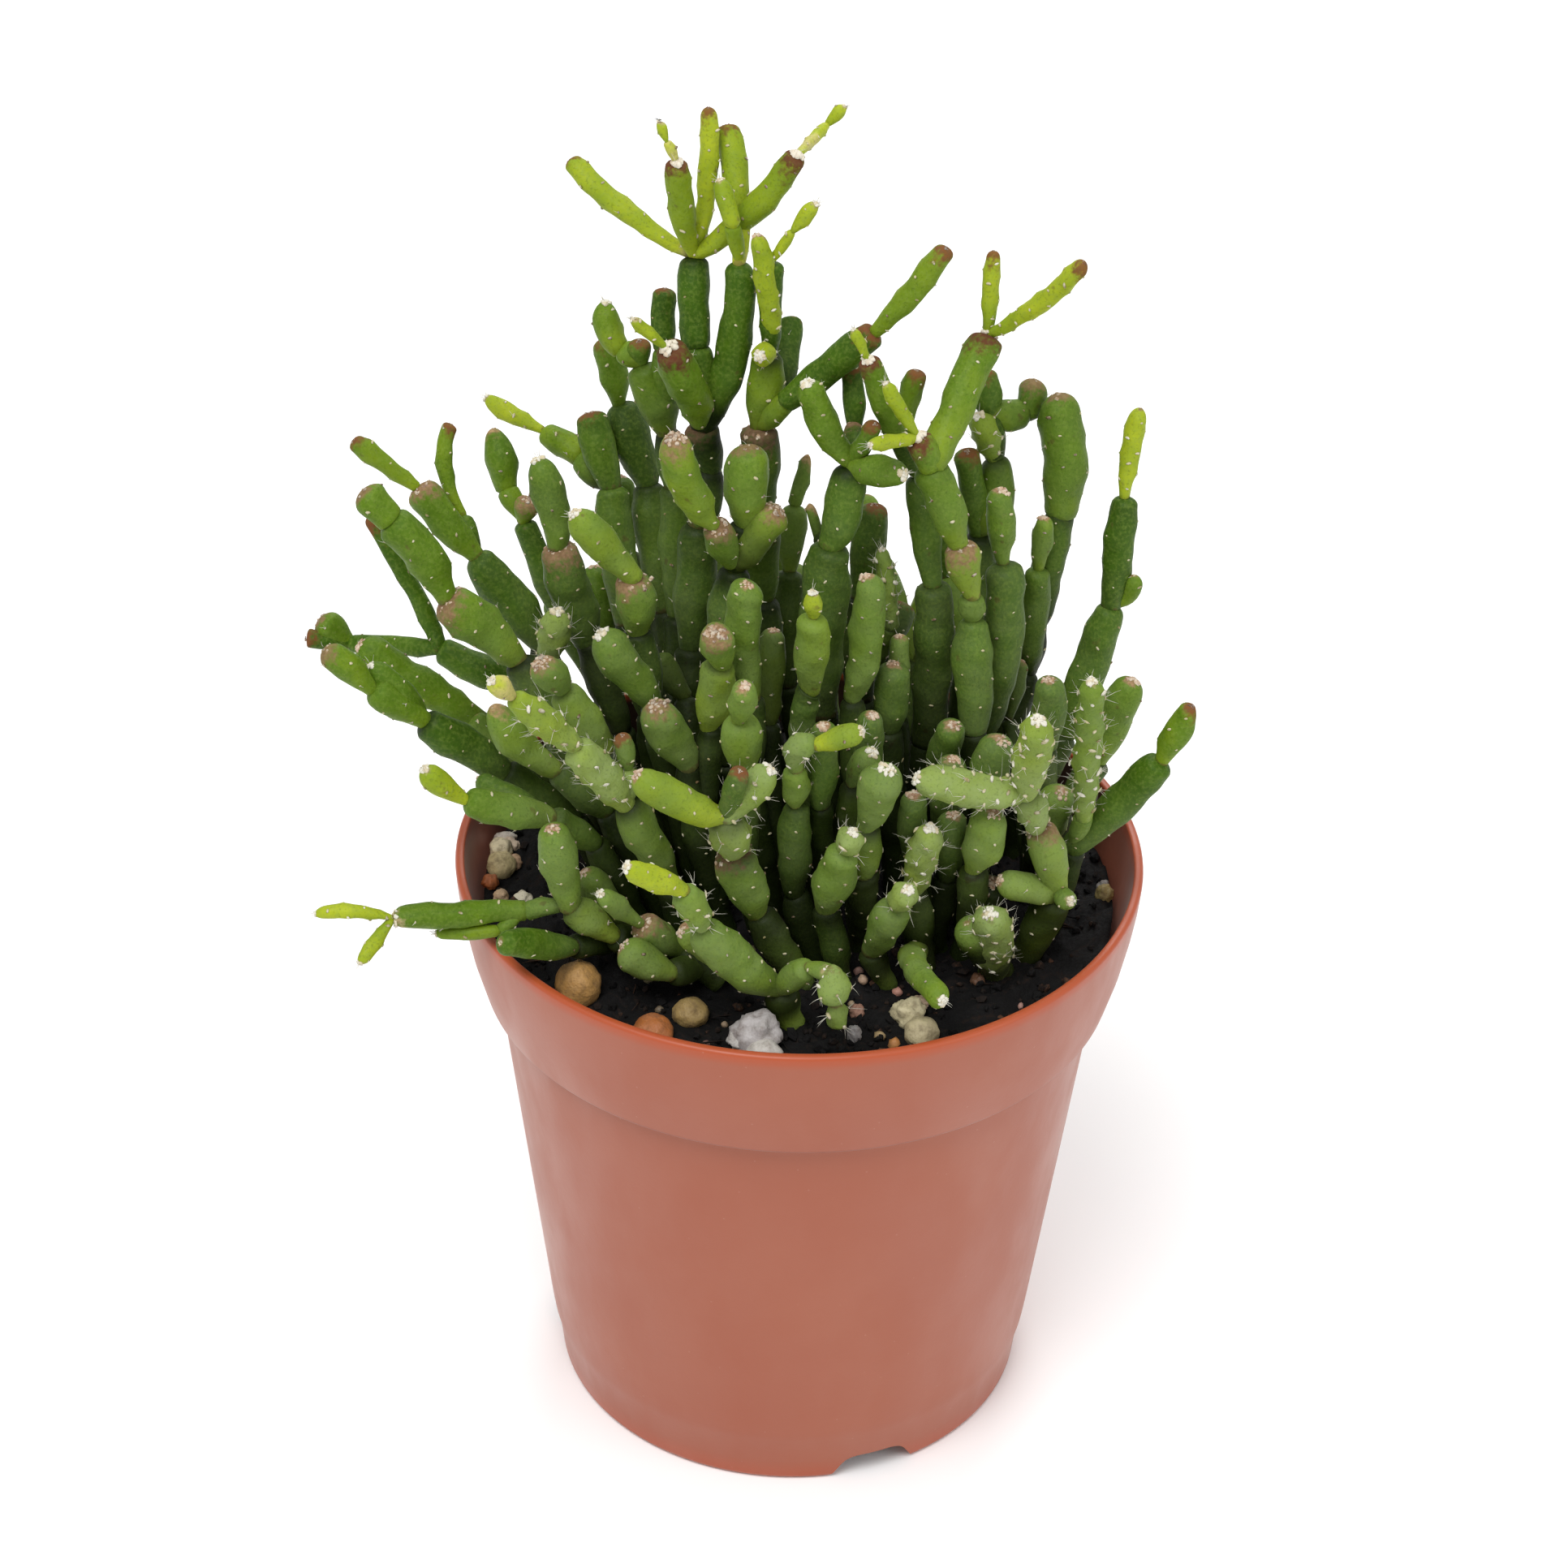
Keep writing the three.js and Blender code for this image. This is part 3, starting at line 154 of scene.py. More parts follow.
def strands(starts, directions, bends, lengths, widths, steps=4):
    # thin tapered hairs with three sides: each leaves along its direction and bends over
    count = len(starts)
    along = np.linspace(0, 1, steps)
    path = starts[:, None, :] + directions[:, None, :] * (lengths[:, None] * along)[:, :, None]
    path = path + bends[:, None, :] * (lengths[:, None] * along ** 2)[:, :, None]
    side = unit(np.cross(directions, bends + 0.01))
    front = unit(np.cross(directions, side))
    thick = widths[:, None] / 2 * (1 - 0.75 * along ** 2)
    points = np.empty((count, steps, 3, 3))
    for corner in range(3):
        angle = 2 * math.pi * corner / 3
        aim = math.cos(angle) * side + math.sin(angle) * front
        points[:, :, corner, :] = path + aim[:, None, :] * thick[:, :, None]
    shape = []
    for low in range(0, 3 * steps - 3, 3):
        for corner in range(3):
            after = (corner + 1) % 3
            shape.append([low + corner, low + after, low + 3 + after, low + 3 + corner])
    shape.append([2, 1, 0])
    shape.append([3 * steps - 3, 3 * steps - 2, 3 * steps - 1])
    faces = [[corner + 3 * steps * hair for corner in face] for hair in range(count) for face in shape]
    return points.reshape(-1, 3), faces


def joined(parts):
    # several (points, faces) lists as one
    points, faces, offset = [], [], 0
    for somePoints, someFaces in parts:
        points.append(somePoints)
        faces.extend([[corner + offset for corner in face] for face in someFaces])
        offset += len(somePoints)
    return np.concatenate(points), faces


class Paint:
    # a material and the few kinds of node that all of them use
    def __init__(self, name, roughness, **settings):
        self.material = bpy.data.materials.new(name)
        self.material.use_nodes = True
        self.tree = self.material.node_tree
        self.tree.nodes.clear()
        self.shader = self.node("BsdfPrincipled", {"Roughness": roughness})
        self.node("OutputMaterial", {"Surface": self.shader.outputs["BSDF"]})
        for socket, value in settings.items():
            self.shader.inputs[socket.replace("_", " ")].default_value = value
        self.place = self.node("TexCoord", {}).outputs["Object"]

    def link(self, value, socket):
        if isinstance(value, bpy.types.NodeSocket):
            self.tree.links.new(value, socket)
        else:
            socket.default_value = value

    def node(self, kind, inputs):
        node = self.tree.nodes.new("ShaderNode" + kind)
        for socket, value in inputs.items():
            self.link(value, node.inputs[socket])
        return node

    def value(self, name, output="Fac"):
        node = self.node("Attribute", {})
        node.attribute_name = name
        return node.outputs[output]

    def noise(self, size, detail=3, roughness=0.55, stretch=None):
        # size is how big the blotches are, in millimetres
        source = self.place
        if stretch:
            source = self.node("Mapping", {"Vector": source, "Scale": stretch}).outputs["Vector"]
        inputs = {"Vector": source, "Scale": 1 / (size * mm), "Detail": detail, "Roughness": roughness}
        return self.node("TexNoise", inputs).outputs["Fac"]

    def cells(self, size):
        # distance to the nearest of scattered points, 0 at a point
        cells = self.node("TexVoronoi", {"Vector": self.place, "Scale": 1 / (size * mm)})
        return cells.outputs["Distance"]

    def along(self, axis):
        # how far along X, Y or Z
        return self.node("SeparateXYZ", {0: self.place}).outputs[axis]

    def fromAxis(self):
        squares = [self.maths("POWER", self.along(axis), 2) for axis in ("X", "Y")]
        return self.maths("SQRT", self.maths("ADD", *squares), 0)

    def ramp(self, factor, stops):
        # stops as [(place, value or colour), ...]
        node = self.node("ValToRGB", {"Fac": factor})
        elements = node.color_ramp.elements
        while len(elements) < len(stops):
            elements.new(1.0)
        for element, (place, colour) in zip(elements, stops):
            element.position = place
            element.color = colour if isinstance(colour, tuple) else (colour, colour, colour, 1)
        return node.outputs["Color"]

    def span(self, value, low, high, toLow=0.0, toHigh=1.0, smooth=True):
        inputs = {"Value": value, "From Min": low, "From Max": high, "To Min": toLow, "To Max": toHigh}
        node = self.node("MapRange", inputs)
        node.interpolation_type = "SMOOTHSTEP" if smooth else "LINEAR"
        return node.outputs["Result"]

    def band(self, value, ends, toLow=0.0, toHigh=1.0):
        # a span with its ends in millimetres
        return self.span(value, ends[0] * mm, ends[1] * mm, toLow, toHigh)

    def maths(self, kind, first, second):
        node = self.node("Math", {0: first, 1: second})
        node.operation = kind
        return node.outputs[0]

    def mix(self, factor, first, second, kind="MIX"):
        node = self.node("Mix", {})
        node.data_type = "RGBA"
        node.blend_type = kind
        for socket, value in ((0, factor), (6, first), (7, second)):
            self.link(value, node.inputs[socket])
        return node.outputs[2]

    def bump(self, height, depth):
        # depth in millimetres
        node = self.node("Bump", {"Strength": 1, "Distance": depth * mm, "Height": height})
        self.link(node.outputs["Normal"], self.shader.inputs["Normal"])

    def colour(self, socket):
        self.link(socket, self.shader.inputs["Base Color"])

    def roughness(self, socket):
        self.link(socket, self.shader.inputs["Roughness"])


pot = {
    "height": 50.3,
    "rimRadius": 27.6,
    "collarFoot": (25.7, 39.8),  # radius and height of the collar's lower edge
    "bodyTop": (24.5, 39.3),  # of the tapered wall's top
    "innerStep": 38.9,  # height at which the inside widens into the collar
    "bodyBend": (20.4, 5.3),  # radius and height at which the wall turns in to the foot
    "baseRadius": 19.6,
    "wall": 0.75,
    "floor": 1.0,
    "sides": 168,
    "notchCount": 3,
    "firstNotchAngle": -68.2,
    "notchReach": 3.6,
    # half outline of a notch, from its foot round to the middle of its top
    "notch": [(4.6, -1), (4.15, -0.02), (3.8, 0.08), (3.5, 0.36), (3.15, 0.95), (2.8, 1.5), (2.45, 1.88),
              (2.0, 2.1), (1.5, 2.2)],
    "plastic": srgb(174, 94, 66),
    # the orange of the painted light that shows through the thin lip and foot
    "litThroughPlastic": srgb(186, 84, 44),
    "fadedPlastic": srgb(184, 110, 82),
    # painted shadow in the seam under the collar's overhang
    "seam": srgb(96, 46, 32),
    "speck": srgb(224, 186, 168),
    # the painted shade on the inner wall at the back
    "wallShade": srgb(44, 30, 22),
    # heights between which painted light shows through the thin plastic, painted shadow fills the seam and
    # painted shade darkens the inner wall
    "lipGlow": (48.9, 50.0),
    "footGlow": (2.4, 0.2),
    "seamLow": (38.9, 39.35),
    "seamHigh": (39.95, 39.5),
    "wallShadeLow": (41.6, 42),
    "wallShadeHigh": (50.1, 49.4),
    "wallShadeBack": (4, 12),  # the same along y
    "wallShadeReach": (18.15, 18.0),  # from the axis, less the lean of the wall
    "wallLean": 0.181,
}


def arc(centre, radius, fromAngle, toAngle, steps):
    # a round corner of a turned profile, angles in degrees
    angles = np.radians(np.linspace(fromAngle, toAngle, steps))
    return [(centre[0] + radius * math.cos(a), centre[1] + radius * math.sin(a)) for a in angles]


def innerRadius(height):
    foot = pot["bodyBend"][0] - pot["wall"]
    top = pot["bodyTop"][0] - pot["wall"]
    share = (height - pot["bodyBend"][1]) / (pot["bodyTop"][1] - pot["bodyBend"][1])
    return foot + (top - foot) * share


def turnedShape(profile, sides):
    # closed shape turned about Z; the profile runs from the axis to the axis
    middle = profile[1:-1]
    angles = 2 * np.pi * np.arange(sides) / sides
    points = [[0, 0, profile[0][1]], [0, 0, profile[-1][1]]]
    for radius, height in middle:
        points.extend([[radius * math.cos(a), radius * math.sin(a), height] for a in angles])
    return np.array(points), ringFaces(len(middle), sides, 2, (0, 1))


def potProfile():
    rim, wall, top = pot["rimRadius"], pot["wall"], pot["height"]
    collarRadius, collarHeight = pot["collarFoot"]
    bodyRadius, bodyHeight = pot["bodyTop"]
    bendRadius, bendHeight = pot["bodyBend"]
    base = pot["baseRadius"]
    outside = [(0, 0), (base * 0.5, 0), (base - 1.4, 0)]
    outside += arc((base - 0.6, 0.6), 0.6, -80, -8, 5)
    outside += [(base + 0.14, 1.9), (bendRadius - 0.34, bendHeight - 1.2)]
    outside += [(bendRadius - 0.1, bendHeight - 0.4)]
    outside += [(bendRadius + 0.03, bendHeight + 0.4), (bendRadius + 0.16, bendHeight + 1.4)]
    outside += [(bodyRadius - 0.12, bodyHeight - 1.0), (bodyRadius - 0.02, bodyHeight - 0.25)]
    outside += [(bodyRadius + 0.1, bodyHeight + 0.02)]
    outside += arc((collarRadius - 0.3, collarHeight + 0.1), 0.3, -90, -8, 5)
    outside += [(collarRadius + 0.2, collarHeight + 0.8), (collarRadius + 0.85, collarHeight + 3.2)]
    outside += [(rim - 0.45, top - 4.2), (rim - 0.16, top - 2.2), (rim - 0.06, top - 1.1)]
    lip = 0.34
    outside += arc((rim - lip, top - lip), lip, 0, 90, 6)
    outside += arc((rim - wall + lip * 0.6, top - lip * 0.6), lip * 0.6, 90, 180, 4)
    inside = [(rim - wall - 0.12, top - 1.2), (collarRadius - wall, collarHeight + 0.45)]
    inside += [(innerRadius(height), height) for height in (pot["innerStep"], bendHeight)]
    inside += [(base - wall, pot["floor"]), (0, pot["floor"])]
    return outside + inside


def notchCutter(angle):
    outline = pot["notch"] + [(-x, z) for x, z in reversed(pot["notch"])]
    turn = Matrix.Rotation(math.radians(angle + 90), 3, "Z")
    points = []
    for y in (-pot["baseRadius"] - pot["notchReach"], -pot["baseRadius"] + pot["notchReach"]):
        points.extend([list(turn @ Vector((x, y, z))) for x, z in outline])
    count = len(outline)
    faces = [list(range(count)), list(range(2 * count - 1, count - 1, -1))]
    for side in range(count):
        after = (side + 1) % count
        faces.append([side, count + side, count + after, after])
    return np.array(points), faces


def makePlastic():
    gloss = {"Specular_IOR_Level": 0.45, "Sheen_Weight": 0.12, "Sheen_Roughness": 0.35}
    paint = Paint("nurseryPotPlastic", 0.4, **gloss)
    blotch = paint.noise(14, detail=4)
    grain = paint.noise(0.5, detail=2)
    cloud = paint.noise(5, detail=3, stretch=(1, 1, 0.5))
    colour = paint.mix(paint.span(blotch, 0.35, 0.75, 0, 0.35), pot["plastic"], pot["fadedPlastic"])
    # painted light: light showing through the thin lip and foot is painted in, and a painted shadow lies in
    # the seam under the collar
    height = paint.along("Z")
    lip = paint.band(height, pot["lipGlow"])
    foot = paint.band(height, pot["footGlow"], 0, 0.8)
    colour = paint.mix(paint.maths("MAXIMUM", lip, foot), colour, pot["litThroughPlastic"])
    # painted shadow: the seam under the collar is darkened
    seam = paint.maths("MULTIPLY", *(paint.band(height, pot[key]) for key in ("seamLow", "seamHigh")))
    colour = paint.mix(paint.maths("MULTIPLY", seam, 0.75), colour, pot["seam"])
    speck = paint.span(paint.cells(1.7), 0.02, 0.06, 0.16, 0)
    colour = paint.mix(speck, colour, pot["speck"])
    # painted shade: the inside of the wall at the back is darkened, above the soil and under the lip
    lean = paint.maths("MULTIPLY", height, pot["wallLean"])
    wallShade = paint.band(paint.maths("SUBTRACT", paint.fromAxis(), lean), pot["wallShadeReach"])
    aboveSoil = paint.band(height, pot["wallShadeLow"])
    atBack = paint.band(paint.along("Y"), pot["wallShadeBack"])
    underLip = paint.band(height, pot["wallShadeHigh"], 0, 0.95)
    for share in (aboveSoil, atBack, underLip):
        wallShade = paint.maths("MULTIPLY", wallShade, share)
    paint.colour(paint.mix(wallShade, colour, pot["wallShade"]))
    paint.roughness(paint.span(cloud, 0.3, 0.7, 0.36, 0.5))
    paint.bump(paint.mix(0.25, cloud, grain), 0.03)
    return paint.material


def makePot():
    material = makePlastic()
    piece = addPiece("potShell", *turnedShape(potProfile(), pot["sides"]), material, slot="pot_plastic")
    for index in range(pot["notchCount"]):
        angle = pot["firstNotchAngle"] + 360 / pot["notchCount"] * index
        cutter = addPiece("cutter", *notchCutter(angle), material, body=None)
        cut = piece.modifiers.new("notch", "BOOLEAN")
        cut.operation = "DIFFERENCE"
        cut.solver = "EXACT"
        cut.object = cutter
        bpy.context.view_layer.objects.active = piece
        bpy.ops.object.modifier_apply(modifier=cut.name)
        bpy.data.objects.remove(cutter)
    piece.data.polygons.foreach_set("use_smooth", [True] * len(piece.data.polygons))
    piece.data.set_sharp_from_angle(angle=math.radians(38))
    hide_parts("pot")


makePot()
print("pot made")


# The board is a sheet through the plant, square to the camera. Places on it are given in millimetres
# across and up from its middle, and the depth behind it as y.
sight = {"distance": 322.6, "pitch": 33.76, "roll": 1.22, "aim": (-1.36, 0, 56.5), "focal": 93.17}


def sightFrame():
    pitch, roll = math.radians(sight["pitch"]), math.radians(sight["roll"])
    toEye = np.array([0, -math.cos(pitch), math.sin(pitch)])
    level = np.array([1.0, 0, 0])
    rise = np.array([0, math.sin(pitch), math.cos(pitch)])
    right = level * math.cos(roll) + rise * math.sin(roll)
    up = rise * math.cos(roll) - level * math.sin(roll)
    aim = np.array(sight["aim"], dtype=float)
    return aim, toEye, right, up, aim + toEye * sight["distance"]


aim, toEye, boardRight, boardUp, eye = sightFrame()


def spot(across, up, back):
    # the place at depth y = back behind a point of the board, and how much larger it is there
    ray = aim + boardRight * across + boardUp * up - eye
    scale = (back - eye[1]) / ray[1]
    return eye + ray * scale, scale


def groundSpot(across, up, level):
    # the place at that level behind a point of the board
    ray = aim + boardRight * across + boardUp * up - eye
    return eye + ray * (level - eye[2]) / ray[2]


soil = {
    "level": 46.2,
    "pebbleReach": 25.6,  # how far from the axis a pebble may reach, inside the wall
    "mound": 0.5,
    "gap": 0.3,
    "prills": [
        # x, y, radius, colour
        (-17.0, -14.6, 1.8, srgb(206, 158, 92)),
        (-11.0, -20.0, 1.5, srgb(186, 112, 58)),
        (-8.2, -17.6, 1.3, srgb(176, 148, 92)),
        (-2.4, -22.6, 1.5, srgb(214, 208, 200)),
        (9.6, -19.4, 1.4, srgb(214, 200, 158)),
        (-24.2, 2.2, 1.2, srgb(224, 204, 152)),
    ],
    "rings": 70,
    "sides": 190,
    "crumbs": 1500,
    "fibres": 150,
    "smallGrit": 46,
    "fibreReach": 23,  # how far from the axis fibres and small grit start
    "gritReach": 24,
    "fibreLimit": 25.3,  # and how far a fibre may run
    "dampPeat": srgb(10, 9, 9),
    "peat": srgb(14, 12, 12),
    "brownPeat": srgb(44, 32, 25),
    "bark": srgb(96, 66, 48),
    "blackPeat": srgb(15, 14, 15),
    "gritStain": srgb(96, 74, 56),
    "gritPit": srgb(40, 30, 26),
}


def soilHeight(x, y):
    mound = soil["mound"] * (1 - (x * x + y * y) / pot["rimRadius"] ** 2)
    lumps = 0.22 * np.sin(0.9 * x + 1.3) * np.cos(0.8 * y - 0.4)
    return soil["level"] + mound + lumps + 0.12 * np.sin(2.1 * x - 1.7 * y)


def crumbHeight(x, y):
    # the crumbled top: clods, then crumbs
    clod = noise.noise(Vector((x * 0.42, y * 0.42, 1.7)))
    crumb = noise.noise(Vector((x * 1.5, y * 1.5, 4.1)))
    grain = noise.noise(Vector((x * 4.2, y * 4.2, 9.3)))
    return soilHeight(x, y) - 0.15 + 0.55 * clod + 0.45 * crumb + 0.16 * grain


def makePeat():
    paint = Paint("dampPeat", 0.9, Specular_IOR_Level=0.25)
    tone = paint.value("tone")
    fine = paint.noise(0.35, detail=4)
    broad = paint.noise(4.5, detail=3)
    mixed = paint.maths("ADD", paint.maths("MULTIPLY", fine, 0.55), paint.maths("MULTIPLY", tone, 0.6))
    colour = paint.ramp(mixed, [(0.3, soil["dampPeat"]), (0.55, soil["peat"]), (0.74, soil["brownPeat"]),
                                (0.9, soil["bark"])])
    paint.colour(paint.mix(paint.span(broad, 0.45, 0.7, 0, 0.35), colour, soil["blackPeat"]))
    paint.roughness(paint.span(fine, 0.3, 0.7, 0.75, 0.95))
    paint.bump(fine, 0.12)
    return paint.material


def soilBed(material):
    # the crumbled top and the plain body down to the pot's floor
    gap, bend, step = soil["gap"], pot["bodyBend"][1], pot["innerStep"]
    topRadius, collarHeight = pot["collarFoot"][0] - gap, pot["collarFoot"][1]
    sides, rings = soil["sides"], soil["rings"]
    angles = 2 * np.pi * np.arange(sides) / sides
    points = [[0, 0, crumbHeight(0, 0)]]
    for ring in range(1, rings + 1):
        radius = topRadius * ring / rings
        for angle in angles:
            x, y = radius * math.cos(angle), radius * math.sin(angle)
            points.append([x, y, crumbHeight(x, y)])
    below = [(pot["collarFoot"][0] - pot["wall"] - gap, collarHeight + 0.9), (innerRadius(step) - gap, step),
             (innerRadius(bend) - gap, bend), (pot["baseRadius"] - pot["wall"] - gap, pot["floor"] + gap)]
    for radius, height in below:
        points.extend([[radius * math.cos(a), radius * math.sin(a), height] for a in angles])
    points.append([0, 0, pot["floor"] + gap])
    # its rings run downwards, so each face is turned over
    poles = (0, len(points) - 1)
    faces = [face[:1] + face[:0:-1] for face in ringFaces(rings + len(below), sides, 1, poles)]
    piece = addPiece("soilBed", points, faces, material, slot="peat")
    rng = np.random.default_rng(5)
    addValues(piece, "tone", rng.uniform(0.1, 0.62, len(points)))
    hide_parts("soil")


def strewn(rng, reach, count):
    # random places on the soil, evenly spread as far as reach from the axis
    out = reach * np.sqrt(rng.uniform(0, 1, count))
    angle = rng.uniform(0, 2 * math.pi, count)
    x, y = out * np.cos(angle), out * np.sin(angle)
    return x, y, np.array([crumbHeight(a, b) for a, b in zip(x, y)])


def heldIn(points, limit):
    # points further than limit from the axis move in to it
    out = np.hypot(points[:, 0], points[:, 1])
    points[:, :2] *= np.minimum(1, limit / np.maximum(out, 1e-6))[:, None]
    return points


def soilCrumbs(material):
    rng = np.random.default_rng(11)
    count, edge = soil["crumbs"], pot["collarFoot"][0]
    x, y, ground = strewn(rng, edge - 0.7, count)
    size = 0.16 + 0.62 * rng.beta(1.3, 5, count)
    places = np.stack([x, y, ground + size * 0.35], axis=1)
    normals = unit(rng.standard_normal((count, 3)))
    sizes = size[:, None] * rng.uniform(0.65, 1.35, (count, 3))
    points, faces = scatter(ballShape(1), places, turnsFor(normals, rng), sizes, rng, 0.16)
    piece = addPiece("soilCrumbs", heldIn(points, edge - 0.1), faces, material, slot="peat", smooth=False)
    tones = np.clip(rng.normal(0.38, 0.26, count), 0, 1)
    addValues(piece, "tone", np.repeat(tones, len(points) // count))


def soilFibres(material):
    rng = np.random.default_rng(23)
    count = soil["fibres"]
    x, y, ground = strewn(rng, soil["fibreReach"], count)
    starts = np.stack([x, y, ground + 0.1], axis=1)
    heading = rng.uniform(0, 2 * math.pi, count)
    rise = rng.uniform(0.05, 0.3, count)
    directions = unit(np.stack([np.cos(heading), np.sin(heading), rise], axis=1))
    curls = [rng.normal(0, 0.35, count) for _ in range(2)]
    bends = np.stack([*curls, -rng.uniform(0.1, 0.4, count)], axis=1)
    lengths = rng.uniform(1.0, 3.4, count)
    points, faces = strands(starts, directions, bends, lengths, rng.uniform(0.08, 0.2, count), 5)
    piece = addPiece("soilFibres", heldIn(points, soil["fibreLimit"]), faces, material, slot="peat")
    addValues(piece, "tone", np.repeat(rng.uniform(0.4, 1.0, count), len(points) // count))


# grit on the soil: across and up on the board, width, roundness 0 rough to 1 smooth, colour
grit = [
    (-2.2, -20.4, 3.4, 0.1, 196, 190, 188), (-3.2, -20.6, 2.2, 0.1, 206, 202, 196),
    (2.2, -12.9, 1.8, 0.5, 240, 230, 228), (5.6, -20.1, 1.3, 0.3, 164, 160, 158),
    (5.8, -17.9, 1.2, 0.4, 176, 132, 112), (9.9, -18.4, 2.5, 0.2, 226, 214, 172),
    (10.8, -17.6, 1.3, 0.3, 206, 178, 150), (9.0, -16.6, 0.9, 0.4, 206, 150, 132),
    (8.8, -20.2, 1.1, 0.5, 196, 134, 74), (11.0, -20.2, 0.9, 0.3, 166, 160, 150),
    (7.6, -19.6, 0.8, 0.3, 190, 164, 120), (26.8, -8.5, 1.7, 0.4, 170, 150, 96),
    (25.4, -7.7, 1.2, 0.3, 148, 142, 138), (15.4, -15.4, 1.2, 0.3, 120, 84, 60),
    (-24.4, -3.9, 1.5, 0.3, 240, 228, 214), (-23.4, -5.3, 1.9, 0.4, 252, 236, 196),
    (-21.8, -4.8, 1.6, 0.3, 248, 222, 196), (-21.5, -6.0, 1.3, 0.4, 216, 176, 140),
    (-23.9, -7.6, 1.3, 0.5, 190, 108, 60), (-22.5, -8.8, 1.3, 0.4, 230, 196, 156),
    (-20.8, -9.1, 1.6, 0.3, 250, 240, 212), (-15.8, -9.3, 1.2, 0.3, 250, 246, 240),
]


def makeGritPaint():
    paint = Paint("grit", 0.6, Specular_IOR_Level=0.45)
    stain = paint.noise(0.8, detail=5, roughness=0.65)
    tint = paint.value("tint", "Color")
    colour = paint.mix(paint.span(stain, 0.42, 0.72, 0, 0.55), tint, soil["gritStain"])
    pit = paint.span(paint.cells(0.35), 0.04, 0.14, 0.5, 0)
    paint.colour(paint.mix(pit, colour, soil["gritPit"]))
    paint.roughness(paint.span(stain, 0.3, 0.7, 0.4, 0.8))
    paint.bump(paint.noise(0.22, detail=4), 0.08)
    return paint.material


def soilGrit():
    material = makeGritPaint()
    rng = np.random.default_rng(37)
    ball = ballShape(4)
    parts, tints = [], []
    pebbles = []
    for across, up, width, smooth, *tint in grit:
        x, y = groundSpot(across, up, soil["level"] + 0.4)[:2]
        pebbles.append((x, y, width / 2, srgb(*tint), smooth))
    for x, y, radius, tint in soil["prills"]:
        pebbles.append((x, y, radius, tint, 0.75))
    for _ in range(soil["smallGrit"]):
        out, angle = soil["gritReach"] * math.sqrt(rng.uniform(0, 1)), rng.uniform(0, 2 * math.pi)
        pale = rng.uniform(0.55, 1)
        tint = srgb(200 * pale, 176 * pale * rng.uniform(0.8, 1.08), 140 * pale)
        pebbles.append((out * math.cos(angle), out * math.sin(angle), rng.uniform(0.2, 0.5), tint, 0.3))
    for x, y, radius, tint, smooth in pebbles:
        inward = min(1, (soil["pebbleReach"] - radius) / math.hypot(x, y))
        x, y = x * inward, y * inward
        shapePoints, shapeFaces = ball if radius > 0.55 else ballShape(2)
        seed = Vector(rng.uniform(-50, 50, 3))
        rough = 0.34 * (1 - smooth) + 0.04
        lumps = []
        for point in shapePoints:
            broad, fine = noise.noise(Vector(point) * 1.7 + seed), noise.noise(Vector(point) * 4 + seed)
            lumps.append(broad * rough + abs(fine) * rough * 0.6)
        stretch = 1 + rng.uniform(-0.18, 0.18, 3) * (1.3 - smooth)
        points = shapePoints * (1 + np.array(lumps))[:, None] * stretch * radius
        points = points + np.array([x, y, crumbHeight(x, y) + radius * 0.3])
        parts.append((points, shapeFaces))
        tints.append(np.tile(np.array(tint), (len(points), 1)))
    piece = addPiece("soilGrit", *joined(parts), material, slot="peat")
    addValues(piece, "tint", np.concatenate(tints))


peat = makePeat()
soilBed(peat)
soilCrumbs(peat)
soilFibres(peat)
soilGrit()
print("soil made")


def readStems(text):
    # [name, foot, joints]; each joint as [grows from, three places, girth, look, middle of a bend]
    table = []
    for entry in text.split(";"):
        head, tail = entry.split(":")
        name, *foot = head.split()
        rows = []
        for joint in tail.split(","):
            before, _, rest = joint.rpartition(">")
            rest, _, middle = rest.partition("/")
            words = rest.split()
            start = int(before) if before else len(rows)
            look = " ".join(words[4:]) or "old"
            rows.append([start, *map(float, words[:4]), look, *map(float, middle.split())])
        table.append([name, [float(word) for word in foot], rows])
    return table


